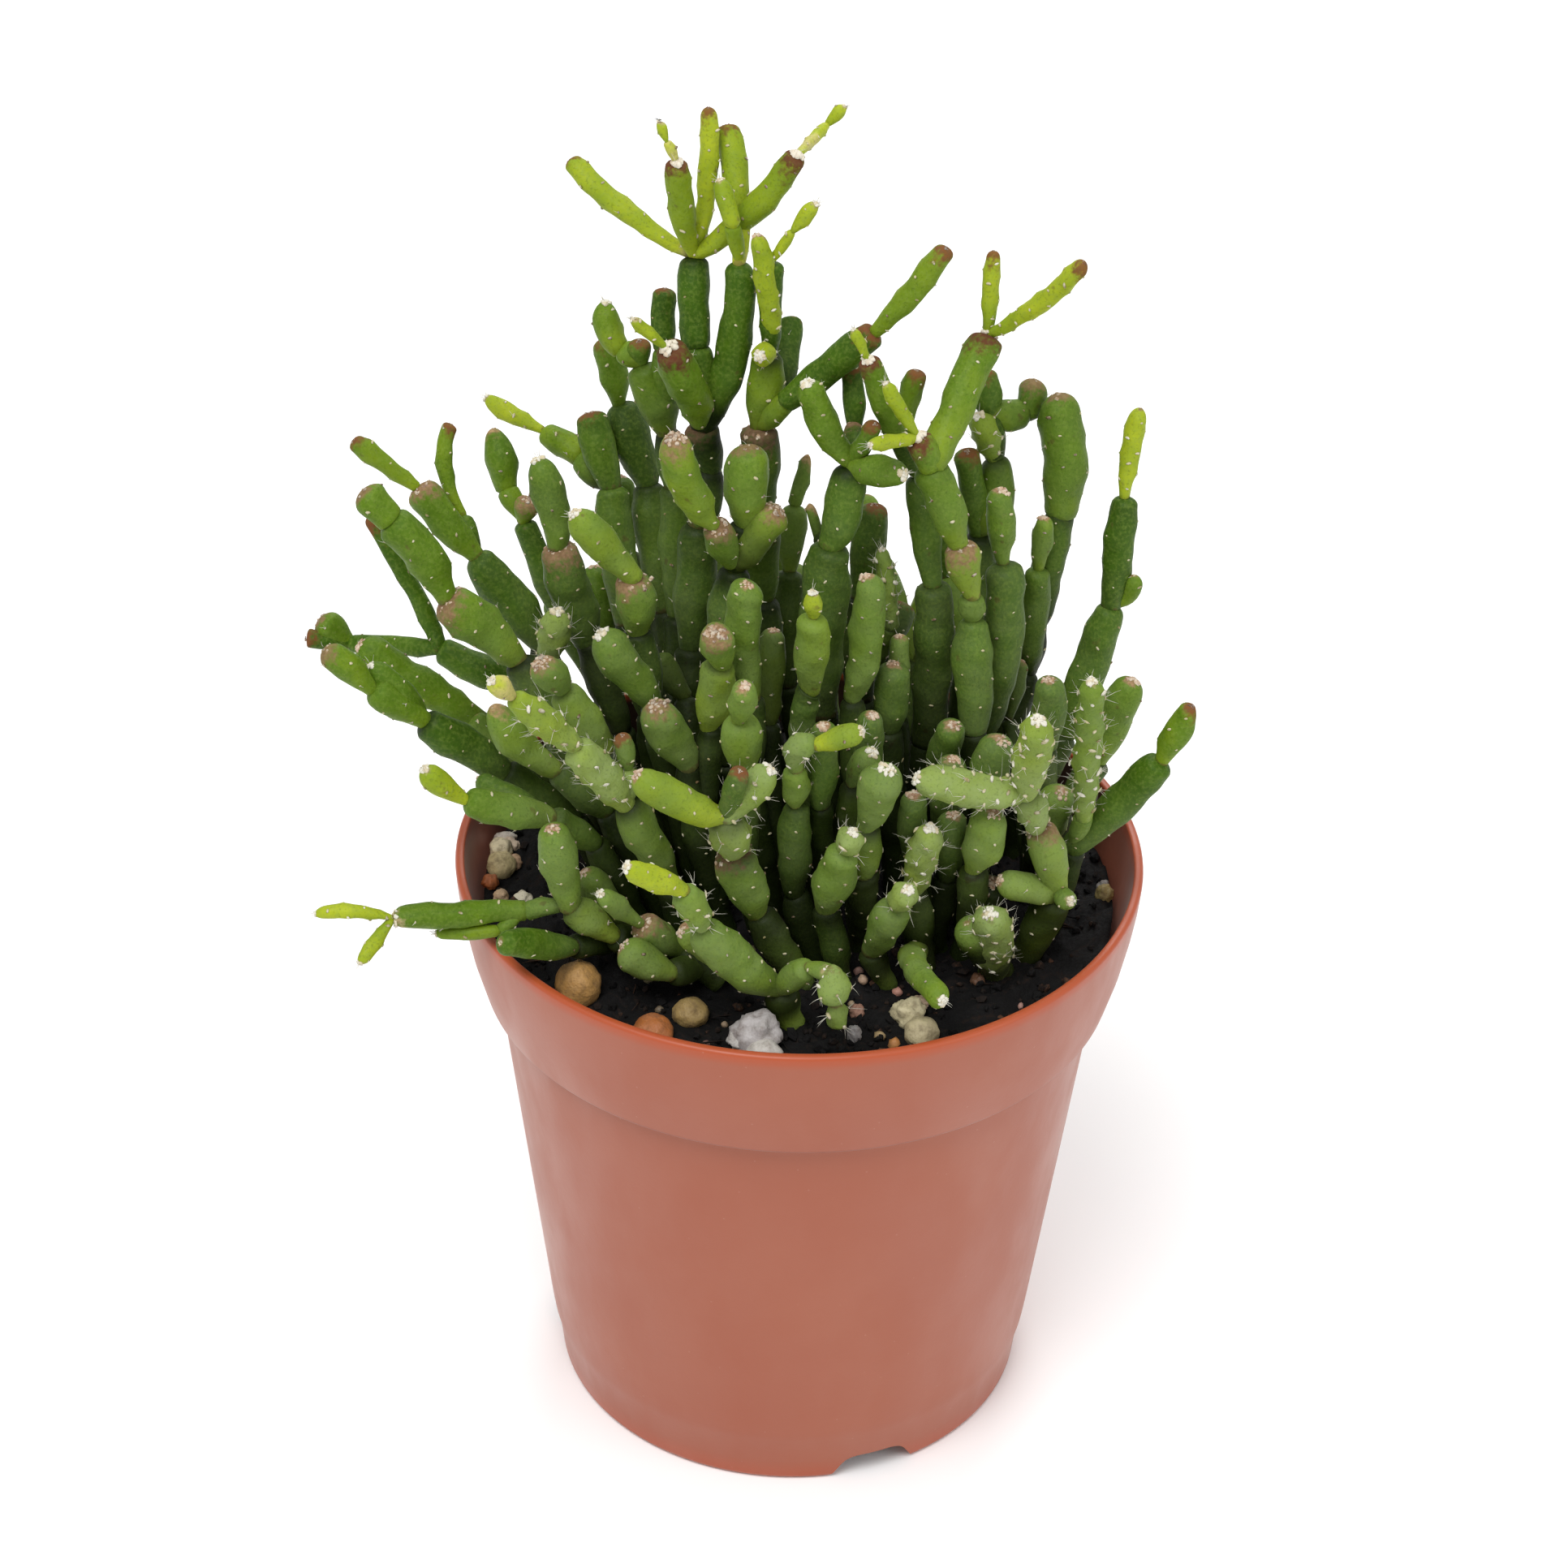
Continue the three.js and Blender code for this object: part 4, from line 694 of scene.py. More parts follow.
# Every stem: its name and its foot on the soil (x, y), then its joints, lowest first: across, up and back
# on the board, the girth below the joint and its look, which is "old" where none is given. A joint grows
# from the one before it, or from the one whose number stands before ">". Number 0 is the foot. After "/"
# comes the middle of a curved stretch. "through" keeps its girth where others narrow.
stems = readStems("""
crown -5.5 6: -7.9 4 6.5 2.6, -7.5 11 7 2.9, -6.7 20.8 7 3.2, -5.85 25.2 6.5 2.9,
   -6.2 28.4 5.5 2.7 old cork, -7.1 35 5.5 2.7 old through, -7.2 42 6 2.55,
   -6 53.8 7 1.5 young brown / -6.15 47, 7> -17.1 49.6 4 1.8 fresh brown / -12.4 45.4,
   7> -8.5 49.4 5 2.1 fresh ring / -8.1 45.6, -9.35 51.1 5 0.8 straw, -9.95 52.8 5 0.8 young wool,
   7> 1.1 50 -2 2.1 fresh ring / -2.9 45.2, 3.4 52.4 3.5 0.9 straw, 4.9 53.9 3.2 1 young wool,
   5> -3.2 41.3 9.5 2.7 / -3.8 34, -4.6 52.4 14.5 2.1 fresh brown / -3.55 47,
   16> -4.1 44.5 7 1.4 fresh through, -5.1 48.1 6.5 1.6 fresh wool,
   5> -9.3 34.6 3.5 3.1 green ring / -7.3 31.2, -12.1 37 3 1 young wool;
crown_right -1 5: -1.9 6 6 2.8, -1.7 15 6 3.4, -1.9 22.2 5.5 3.1, -2.2 28.6 5 3.2 old cork,
   -1.5 34.6 4.4 3 green, -2.2 43.7 3 1.8 young pink through / -1.4 38.7, 5> -1.9 34 1.2 2 young wool,
   5> -1.1 41.5 6.2 1.9, 0.74 44 5.8 0.9 young, 2.6 46.2 5.4 1.3 young wool,
   4> 0.45 37 7.5 2.1 old brown / -0.2 33, 4> 0.4 30.4 4.8 1.9 green through, 7.3 35.8 4 2.5 old brown,
   12.9 42.6 3.2 1.9 green brown / 10.25 39.05;
knob -3.4 0.5: -4.6 2 1 2.6, -4.9 9 1.4 3, -4 17.3 1.5 3.2, -3.1 20.8 1.8 2.4,
   -2.85 26.8 1.5 3.5 green tan, 3> -0.5 22 -0.8 3 green cork, 3> -5.6 20.7 0.8 2.5 green cork,
   -8.9 27.7 -0.5 2.9 green cork / -7.5 23.3;
middle -2.2 -3.4: -2.8 0.5 -3 2.2, -2.6 7 -2.6 2.4, -2.8 15.9 -3.2 2.9 green pink / -3.3 12.2,
   0> -1.3 5 -1.2 2.2, -0.9 12.4 -1 2.3 green pink;
scarred -6.2 -5.4: -6.3 -2 -4.8 2.2, -5.9 4.7 -4.6 2.2, -5 9.7 -5 3 green, -5.4 12.1 -6.6 2.8 green cork,
   0> -7.7 1.6 -6.4 2.3 / -7 -4, -10.6 6.4 -7.5 3.3 green cork;
upper_left -8 7.5: -8 4 8 2.4, -8.4 13.5 9 2.7, -8.8 23.8 9 2.6, -9.3 28.2 8.5 2.4,
   -11.3 33.4 8 3.1 green, -11.5 35.2 7.6 1.9 green brown, 5> -13.1 34.7 7.4 1.9 green through,
   -14.1 38.4 7 2.2 green wool / -14 36.2, 4> -9.7 34.6 10 1.8, -9.5 39.4 10.5 2 old brown;
far_left_arm -10.6 10.5: -9.6 4.5 10.5 2.2, -12.5 13 11.5 2.8, -13.55 23.8 12.4 3,
   -15 29.6 12.6 2.7 old brown, 3> -16.2 26.1 12.2 2.4 green through, -19.2 28.1 12 2.1 green,
   -23.75 30.8 12 1.4 young wool / -21.5 29.3;
left_shoulder -7.4 11.5: -7.6 5.5 12 2.4, -9.6 14 12.5 2.8, -11.2 24 13 3, -13.6 30.2 12.5 3.3,
   -14.1 35.4 12 2.4 green brown;
left_cork -9.5 0.5: -10 -1.5 0.5 2.4, -10.9 5.5 0.3 2.6, -11.6 12.3 0 2.7, -12 16.5 -0.6 3.3 green cork,
   -16.8 21.5 -1.5 2.8 green wool;
left_blunt -8 -2.2: -8.7 -2 -3 2.4, -10.4 6.4 -3.2 2.7, -14.7 12 -4 3.2 green wool, 0> -7.3 0 1 2.2,
   -7.9 7 1.6 2.3, -10.2 10.2 1.6 2.1 green, -12.4 12 1.4 1.2 green cork;
left_fork -11.5 4: -14.2 1.5 4 2.4, -19.1 11.3 4 2.7 / -17.8 6.5, -24.6 18.2 4 3.2,
   -29.2 23.6 3.5 2.6 green cork, -34.3 27.3 3 1.6 green brown, 3> -25.5 21.3 4.6 1.6,
   -26.4 28.6 4.6 1.3 green brown / -27 25.3;
left_tan -13 -0.5: -15 -1 -0.8 2.4, -21.1 10 -1 3 / -18 4.4, -26.85 14.9 -1.5 3.7 green cork,
   -31.4 21.2 -2 3.2 green through / -28.7 18.2, -33.6 23.3 -2 2.6 green tan;
left_back -12.5 9: -14.6 2.2 9 2, -21 7.5 9 2.4, -27.5 10.8 9 2.6, -33 21.3 9 1.5 old brown / -28.9 14.4,
   3> -34.5 11.2 8 1.6, -37 13.1 7 2.3 green tan, 5> -38.1 11.6 7.6 1.5 old brown;
left_long -12.6 2.2: -15.6 -1.6 1.5 2.2, -24 5.1 0.8 2.8 / -19.6 1.6,
   -33.8 11.1 0 3 green pink / -28.9 7.8, 1> -20.4 1.5 -1.5 2.4, -24.9 5.4 -2.2 2 green pink;
left_low -14 -3.5: -16.6 -2.8 -3.6 2.2, -22.4 0.9 -4 2.5, -28.7 5 -4.3 3, -32.8 7.6 -4.6 2.5 green,
   -36.5 10.8 -5 2.3 green tan, 3> -33 9.4 -6 2.5 green wool;
left_tapered -11 -4.4: -14 -1.8 -4.8 2.4, -18.2 1.2 -5.2 2.7, -23.2 6.2 -5.5 2.9 green taper / -21.2 3.4;
left_bristly -8.6 -8.6: -9 -7.8 -9.2 2.8, -12.6 -1.5 -9.5 3.1 green, -16.6 3.1 -10 3 hairy,
   -21.6 6.9 -10.6 2.4 hairy, -23.3 8.3 -11.4 1.7 straw wool, 2> -12.4 1.3 -9.8 1.8 hairy,
   -12.9 3.9 -10 1.6 green brown;
left_scar -10.2 -1.8: -11.4 -2.2 -3.6 2.4, -14.3 2.6 -5.2 2.6, -17.6 7.5 -6.2 2.8 green,
   -19.4 9.7 -8 2.6 green cork, 0> -13.2 3.2 -0.4 2.2, -18.8 9.7 -1.6 2.2 green / -16.8 6.4,
   -18 13.8 -2.6 2.3 hairy wool;
left_tall -12.2 7: -13 4.4 6.5 2.3, -15.7 11.6 5.4 2.6, -18.1 18.9 4 3.4 old cork,
   -19.7 25.9 3 2.7 green wool / -18.4 22.1;
left_club -14.2 11.5: -13.9 6.4 11 1.8, -17.7 13.2 10 1.8, -20.7 20.9 9 2.1,
   -20.5 22.7 8.6 1.8 green cork, 3> -22.05 23.6 8.6 1.8 green through, -23.1 28.3 8.6 2.5 green taper;
left_reach -11.4 -11.2: -14 -12.2 -11.8 2.4, -17.2 -9.8 -12.4 2.6 green, -18.5 -3.3 -11.6 3.1 green pink,
   2> -20.6 -10.2 -13 1.5 green through, -31.1 -10.7 -14 2.1 green wool,
   -37.3 -10.4 -14 1.2 young wool / -34.2 -10.1, 5> -33.8 -14.3 -14.8 1.1 young wool,
   4> -22.4 -12 -15 1 green through, -27.7 -11.9 -15.6 1.2 green wool;
left_hand -12.6 -6.8: -15.2 -4.8 -8 2.2, -18.6 -2.7 -8.8 2.4, -25.4 -1.3 -9.6 2.7 green,
   -28.6 1.3 -10.4 2 fresh wool / -27.15 -0.15, 2> -24.3 0.6 -6.8 1.9 old pink;
left_stubs -13 -9.2: -16.2 -12.4 -9.6 2.2, -21.9 -11.9 -10.2 2.3, 0> -15.6 -6.6 -9.8 2.6 green pink;
front_left -7.6 -12.6: -8.6 -13.2 -12.6 2.6 green, -11.4 -11.1 -13.4 2.8 green cork,
   -14.7 -8.7 -14.2 1.7 green wool, 0> -9 -14.9 -15 2.3 green, -13.1 -13.1 -16.4 2.9 green pink;
front -0.6 -18: -0.4 -16.3 -18.6 2.6 green, -6.5 -11.3 -18.6 3.4 green / -3.9 -14.1,
   -7.9 -8.5 -19 2.4 hairy, -12.6 -6.6 -19.6 2 young wool, 1> -4.4 -14.2 -16.6 2 green through,
   -8.1 -11.4 -16 2.4 green pink, 1> 1.9 -14.5 -18.8 2.2 green, 3.8 -15 -19.6 1.6 green wool,
   4.1 -17.4 -19.4 2.6 hairy, 4.2 -19.3 -18.9 1.6 hairy;
front_branching -0.4 -12.8: -2.2 -10.2 -13 2.8 green, -4.1 -5.4 -13.2 3.5 green cork,
   -4.6 -2.6 -13.5 3.3 hairy, -11.7 0.8 -14 2.9 fresh pink / -8 -1.6, 3> -1 1.3 -14.6 2.6 hairy wool,
   3> -3.5 1.1 -12.6 1.8 old brown;
front_red_tip -2.8 -8.2: -3.2 -6 -8.4 2.2, -3 1.2 -8.6 2.3, -3.6 5.2 -9.2 3.2 green,
   -3.1 7.8 -10.4 2.2 green pink;
front_hook 0.9 -9.6: 0.8 -8.5 -9.6 2.6, 0.95 -1.6 -9.8 2.7, 1 1.3 -10 2.1 green,
   2.7 3.2 -10.3 2.1 hairy / 1.2 2.9, 6.2 4.3 -10.8 2 fresh wool;
front_round 4.9 -7.6: 5 -4.5 -7 2.2, 5.4 0.2 -7.2 2.2 green, 7 2.8 -7.8 2.3 green wool,
   0> 6.3 -7 -9.9 2.6 green, 6.6 -3.2 -10.2 2.6 green, 8.2 1.3 -10.8 3.3 green wool;
front_bright_tip 3.3 -12.6: 3.3 -9.7 -12.8 2.3, 4.8 -5.2 -13.2 3.2 green, 5.5 -3.8 -13.9 2 hairy wool;
front_hairy 9.6 -10.6: 10.3 -8.3 -10.8 2.6 green, 11.6 -3.4 -11.2 2.4 hairy wool,
   0> 12.7 -17.3 -18.8 2.1 green wool / 10.3 -15;
front_lime_tip 6.6 -12.8: 6.9 -13.2 -13.4 2.1 green, 9 -9.7 -14.6 3 green, 9.8 -8.3 -15.6 2.1 hairy wool;
shade_pair 10.8 -7.4: 13 -7.3 -8.6 2.4, 13.5 -2.5 -9.2 2.7 old pink, 0> 10 -5.5 -6.8 2.3,
   10.3 -1 -7.2 2.3 old pink;
shade_right 13.4 -4.2: 12.7 -3 -5.2 2.6, 13.4 2.1 -5.6 2.8 old pink, 0> 15.7 -2 -3.2 2.8,
   17 3.7 -3.4 3.2 old pink;
right_oval 13.6 -8.6: 15.5 -6.8 -10.8 2.4 green, 16.7 -2 -11.4 3.2 green pink,
   0> 17 -7.6 -9.4 2.8 old pink;
right_bulb 15.3 -11.2: 16.4 -10.2 -14.6 3.3 hairy wool, 0> 14.6 -11.2 -12.6 2.9 green;
right_hairy 18.4 -8.4: 21.3 -8.9 -9.4 3.1 green, 20.2 -3.5 -10 2.9 green cork / 21 -6,
   19 -0.9 -10.3 2.4 hairy, 10.4 0.4 -11.6 2.9 hairy wool / 14.9 -0.7, 3> 20.3 5.1 -10.8 2.9 hairy wool,
   1> 16.3 -7.5 -12.2 2.4 green pink / 18.8 -8.2, 1> 22.8 -9.3 -11.2 1.6 green wool;
right_low 20 -5.4: 22.6 -4.6 -6 2.4, 30 1.9 -6.5 2.8 / 26.7 -1.2, 32.4 6.2 -6.5 2.2 green brown,
   1> 23.8 -2.4 -6.8 1.5 green through, 24.5 8.2 -8 2.1 hairy wool;
right_stubs 18.8 0.4: 22.2 -2 0.4 2.2, 25.1 2 0.6 2.2, 27.6 8.4 0.6 2.7 green pink, 0> 20.8 3.2 1.2 2.4,
   21.2 8.2 0.8 2.8 old pink, 0> 17.9 5.2 2.4 1.4, 18.9 10 2.4 1.5 green pink, 0> 20.9 -5 -3.4 2.2,
   22.2 -0.6 -3.8 2.8 green pink;
far_right 17.4 5.6: 19.5 -0.5 5 2.4, 22.4 4.1 5 2.6, 26.1 14.3 5 2.9, 27.1 22.8 5 2.4,
   28.35 29.9 5 1.6 young / 27.5 26.2, 3> 27.8 16.6 5.4 1.4 green / 27.45 15;
right_arch 14.2 8: 17 3 7.4 2.4, 19.3 9 7.6 2.6, 20.2 17.1 5.6 2.4, 20.75 21.2 4 1.6 green pink,
   2> 20 13 9.2 2.2 old through, 21.8 22 9.6 2.6 old through, 21.1 31.1 9.6 3.6 green tan / 21.95 26.7;
right_column 12.6 3.4: 15.4 3.9 2.8 2.5, 17.4 17.6 2 3.3 / 17.3 10.6, 17.1 23.4 1.6 2.3 green pink,
   0> 12.8 -0.5 0.4 2.6, 13.6 4.8 0 2.6 old pink;
right_crown 11.4 9: 13.8 5 8.6 2.4, 15.6 12 8.2 2.6, 15.4 20 7.6 2.8, 16.7 26 6.6 2.7 green / 16.9 22.8,
   15.4 29.4 4.8 2.1 hairy wool, 4> 16.4 29.4 8 2.1, 15.9 32.9 8.2 2.1 old brown,
   6> 19.8 29.3 7.6 2.5 green through, 20.3 31.9 7.2 2.2 green tan, 3> 14.6 26.4 7.2 2.1 old brown;
right_mast 13 0.2: 14.2 4.4 0.6 2.5, 14.9 13.2 0.4 3.2, 14.9 15.1 0.2 2.2 green,
   13.9 19.1 -0.2 2.8 green cork, 11.6 25.3 -0.6 2.9 green through, 10.5 27.5 -0.9 2.3 green ring,
   8 31.9 -2.4 1.2 young wool, 6> 6.8 26.9 -3.4 1.2 young wool, 5> 16.2 35.7 1 2.8 green ring / 13.8 30.2,
   16.65 42.4 1 1.3 young brown, 9> 23.9 41.4 -0.2 1.5 young brown / 20.1 38;
right_inner 9.6 3.6: 11.6 3.4 3.4 2.8, 11.8 15.9 3.2 3.3 / 12.1 10, 10.6 24.6 3.4 2.3,
   9.4 28.5 4 1.8 green through, 10.6 32.9 4 1.8 green brown, 3> 8.9 27.7 2.4 1.5 old through,
   6.7 33.7 2.4 2.1 green ring, 5.5 36.2 2.2 0.9 young wool;
right_centre 3.2 1.6: 2.9 6 1.6 2.8, 3.7 19.1 1.6 3.8 / 3.1 13, 5.3 25.5 1.8 3.3 / 4.8 22.2,
   1.9 32 0.8 2.4 green wool / 3.25 28.5, 3> 9.7 24.9 -0.2 2.5 green wool / 7.5 24.9,
   3> 5.6 28.5 4.2 1.6 old cork, 5.3 33.4 4.6 1.8 old brown, 3> 7.3 28.6 1.4 1.5 green brown,
   2> 2.8 19.4 3.4 1.3 green through, 2.05 22.3 3.4 0.9 green taper;
back_centre 6.4 7.6: 6 7 7.4 3.2, 6.3 15 7 3.3, 7.15 22.2 6.8 2.9 old brown,
   1> 8.5 12.5 5.6 1.4 green through, 7.8 18.7 5.2 1.5 hairy wool, 1> 9.6 14.3 8.4 2.6 old brown;
right_pink 7.8 -0.6: 8.3 4.5 -0.6 2.4, 8.8 9.5 -0.9 2.8 old pink, 0> 9.2 5.4 1.4 1.9,
   9.1 11.8 1.4 1.7 green pink;
right_pale 5 -2: 5.4 6.8 -2.2 2.3, 6.8 16.6 -2.4 2.8 green pink / 6.5 11, 0> 6.5 0.4 -3.4 2.3,
   6.8 5.4 -3.8 2.5 old pink;
lime_tip 1.8 -3.6: 2.1 7.5 -4 2.2 / 1.6 2, 2.3 13.3 -4.4 2.7 green, 2.3 15.3 -4.8 1.6 young wool,
   0> 3.1 -1.5 -5.4 2.3, 3.2 4.7 -5.8 2.4 old pink;
back_twig 1.2 9.6: 0.3 8 9.8 2.2, 0.4 17 10 2.4, 0.85 22.2 10 2.1 green through,
   1.9 26.2 10 1.2 green taper
""")

# The stems behind the clump are set in the part's own frame, with x, y and z for a joint's place.
backStems = readStems("""
back_right 12.5 13.5: 14.4 17 55.5 3, 17 20.4 61 3 green pink, 1> 12 22 63 2.9 green,
   12.2 24.2 68.5 2.6 old pink;
back_mid_right 7.5 16.5: 9.3 20 56 2.7, 11 23.6 61.5 2.9 green pink, 1> 6 23 63 2.9 green,
   4.6 25.6 68.5 2.6 green pink;
back_middle 2 15.5: 1.4 18.6 57 2.8, -1.6 21.4 64 3 green, -2.6 23.2 67.2 2.6 green pink,
   1> 3 23.4 60 2.7 green pink;
back_mid_left -4.6 16.5: -6.4 19.6 58 3, -8.2 22.8 66 3.2 green, -8.6 25 73.5 2.8 green pink,
   1> -4.4 24.4 63.5 2.8 green pink;
back_left -10.2 15.2: -13.2 18.4 57 3, -15.4 21.4 65 3.2 green, -15.4 23.4 71 2.8 green pink,
   1> -11 23.4 63.5 2.8 green pink;
back_far_left -15.6 14.8: -16.2 17.8 55.5 2.8, -21 19.8 61.5 2.8 green pink,
   1> -17.4 21.6 63.5 3 green pink
""")


growth = {
    "pinch": 0.7,  # girth at a segment's foot, as a share of its full girth
    "belly": 0.62,  # where along it the full girth is reached
    "waist": 0.8,  # girth at its upper end
    "pegShare": 0.8,  # girth where it leaves the soil
    "neck": 0.3,  # how much of the lowest segment may touch the soil
    "fan": 0.024,  # how far stems lean away from the middle, and where that is in y
    "fanMiddle": -2,
    "sway": 0.4,  # how far side shoots turn forward and back
    "wander": 0.3,
    "gap": 0.42,  # between neighbouring stems
    "beadStep": 1.3,  # between the beads that stand for a stem where stems are parted
    "rounds": 160,
    "sidePush": 0.4,  # how much of an overlap each round presses away sideways
    "sightPush": 0.5,  # and along the line of sight
}


def layOut():
    # joints with place, look and isFoot; segments between two joints of a stem, with the bend as bow
    joints, segments = [], []
    for stem, (_, foot, rows) in enumerate(stems + backStems):
        first = len(joints)
        side = 1 if foot[0] > 0 else -1
        boards = [(rows[0][1], rows[0][2])]
        turns, sways = [0.0], [0.0]
        ground = np.array([foot[0], foot[1], soilHeight(foot[0], foot[1])])
        joints.append({"place": ground, "look": "old", "isFoot": True})
        for index, row in enumerate(rows):
            start = first + row[0]
            bow = np.zeros(3)
            girth = row[4]
            if stem < len(stems):
                if row[0] != index:
                    turn = side = -side
                else:
                    turn = turns[row[0]] * 0.5 + growth["wander"] * math.sin(2.4 * index + foot[0])
                fromAcross, fromUp = boards[row[0]]
                run = math.hypot(row[1] - fromAcross, row[2] - fromUp)
                sway = sways[row[0]] + turn * growth["sway"] * run
                travel = math.hypot(row[1] - rows[0][1], row[2] - rows[0][2])
                depth = sway + growth["fan"] * (foot[1] - growth["fanMiddle"]) * travel
                place, scale = spot(row[1], row[2], row[3] + depth)
                girth = row[4] * scale
                if len(row) > 6:
                    middle = spot(row[6], row[7], (joints[start]["place"][1] + place[1]) / 2)[0]
                    bow = middle - (joints[start]["place"] + place) / 2
                boards.append((row[1], row[2]))
                turns.append(turn)
                sways.append(sway)
            else:
                place = np.array([row[1], row[2], row[3]], dtype=float)
            joints.append({"place": place, "look": row[5], "isFoot": False})
            segments.append({"from": start, "to": len(joints) - 1, "stem": stem, "bow": bow,
                             "girth": girth, "isRooted": row[0] == 0, "look": row[5]})
    return joints, segments


def bottle(share):
    # girth along a segment, as a share of its full girth
    pinch, belly, waist = growth["pinch"], growth["belly"], growth["waist"]
    low = pinch + (1 - pinch) * np.sin(np.minimum(share / belly, 1) * math.pi / 2)
    high = 1 - (1 - waist) * (np.maximum(share - belly, 0) / (1 - belly)) ** 2
    return np.where(share < belly, low, high)


def settle(joints, segments):
    # presses stems apart where they would cross, mostly along the line of sight
    places = np.array([joint["place"] for joint in joints])
    isFoot = np.array([joint["isFoot"] for joint in joints])
    owner, share = [], []
    for index, segment in enumerate(segments):
        length = np.linalg.norm(places[segment["from"]] - places[segment["to"]])
        beads = max(2, math.ceil(length / growth["beadStep"]))
        owner += [index] * beads
        share += [(bead + 0.5) / beads for bead in range(beads)]
    owner, share = np.array(owner), np.array(share)
    fromJoint, toJoint, stem, bow, girth, isRooted = (
        np.array([segment[key] for segment in segments])[owner]
        for key in ("from", "to", "stem", "bow", "girth", "isRooted"))
    radius = girth / 2 * bottle(share)
    depth = ((places[fromJoint] + places[toJoint]) / 2) @ toEye
    isNeck = isRooted & (share < growth["neck"])
    apart = stem[:, None] < stem[None, :]
    reach = radius[:, None] + radius[None, :] + growth["gap"]
    rimInside = innerRadius(pot["collarFoot"][1])
    for _ in range(growth["rounds"]):
        beads = places[fromJoint] * (1 - share)[:, None] + places[toJoint] * share[:, None]
        beads = beads + bow * (4 * share * (1 - share))[:, None]
        squares = (beads ** 2).sum(axis=1)
        distances = np.sqrt(np.maximum(squares[:, None] + squares[None, :] - 2 * beads @ beads.T, 0))
        one, other = np.nonzero(apart & (distances < reach))
        offset = beads[one] - beads[other]
        distance = np.linalg.norm(offset, axis=1)
        overlap = (reach[one, other] - distance) / 2
        offset = offset / np.maximum(distance, 0.01)[:, None]
        inSight = offset @ toEye
        nearer = np.where(depth[one] > depth[other], 1, -1)
        push = (offset - inSight[:, None] * toEye) * growth["sidePush"]
        push = (push + toEye * (inSight + growth["sightPush"] * nearer)[:, None]) * overlap[:, None]
        total, shoves = np.zeros((len(beads), 3)), np.zeros(len(beads))
        np.add.at(total, one, push)
        np.add.at(total, other, -push)
        np.add.at(shoves, one, 1)
        np.add.at(shoves, other, 1)
        outward = np.hypot(beads[:, 0], beads[:, 1])
        floor = np.where(outward > rimInside, pot["height"], soilHeight(beads[:, 0], beads[:, 1]))
        lack = np.where(isNeck, 0, np.maximum(floor + radius + growth["gap"] - beads[:, 2], 0))
        total += toEye * lack[:, None]
        shoves += lack > 0
        moved, weight = np.zeros_like(places), np.zeros(len(places))
        for joint, part in ((fromJoint, 1 - share), (toJoint, share)):
            np.add.at(moved, joint, total * part[:, None])
            np.add.at(weight, joint, shoves * part * 0.5)
        shift = moved / np.maximum(weight, 1)[:, None]
        shift[isFoot] *= 0.5
        places += shift
        places[isFoot, 2] = soilHeight(places[isFoot, 0], places[isFoot, 1])
    for joint, place in zip(joints, places):
        joint["place"] = place


def liftFeet(joints, segments):
    # a foot's joint rises so that the lowest stretch clears the soil beside its hole
    for index, joint in enumerate(joints):
        if joint["isFoot"]:
            lift = soil["gap"]
            for segment in segments:
                if segment["from"] == index:
                    lean = unit(joints[segment["to"]]["place"] - joint["place"])
                    tilted = segment["girth"] / 2 * math.hypot(lean[0], lean[1])
                    lift = max(lift, 2 * soil["gap"] + tilted)
            joint["place"] = joint["place"] + np.array([0, 0, lift])


def beadsAlong():
    # beads strung along all segments, for how much stems shade one another
    beads = {"place": [], "radius": [], "owner": []}
    for segment in segments:
        start, end = joints[segment["from"]]["place"], joints[segment["to"]]["place"]
        count = max(2, math.ceil(np.linalg.norm(end - start) / growth["beadStep"]))
        for share in (np.arange(count) + 0.5) / count:
            bend = segment["bow"] * (4 * share * (1 - share))
            beads["place"].append(start + (end - start) * share + bend)
            beads["radius"].append(segment["girth"] / 2)
            beads["owner"].append((segment["from"], segment["to"]))
    return {key: np.array(values) for key, values in beads.items()}


joints, segments = layOut()
settle(joints, segments)
liftFeet(joints, segments)
allBeads = beadsAlong()
girthBelow = {segment["to"]: segment["girth"] for segment in segments}
print("stems laid out:", len(stems + backStems), "stems,", len(segments), "segments")


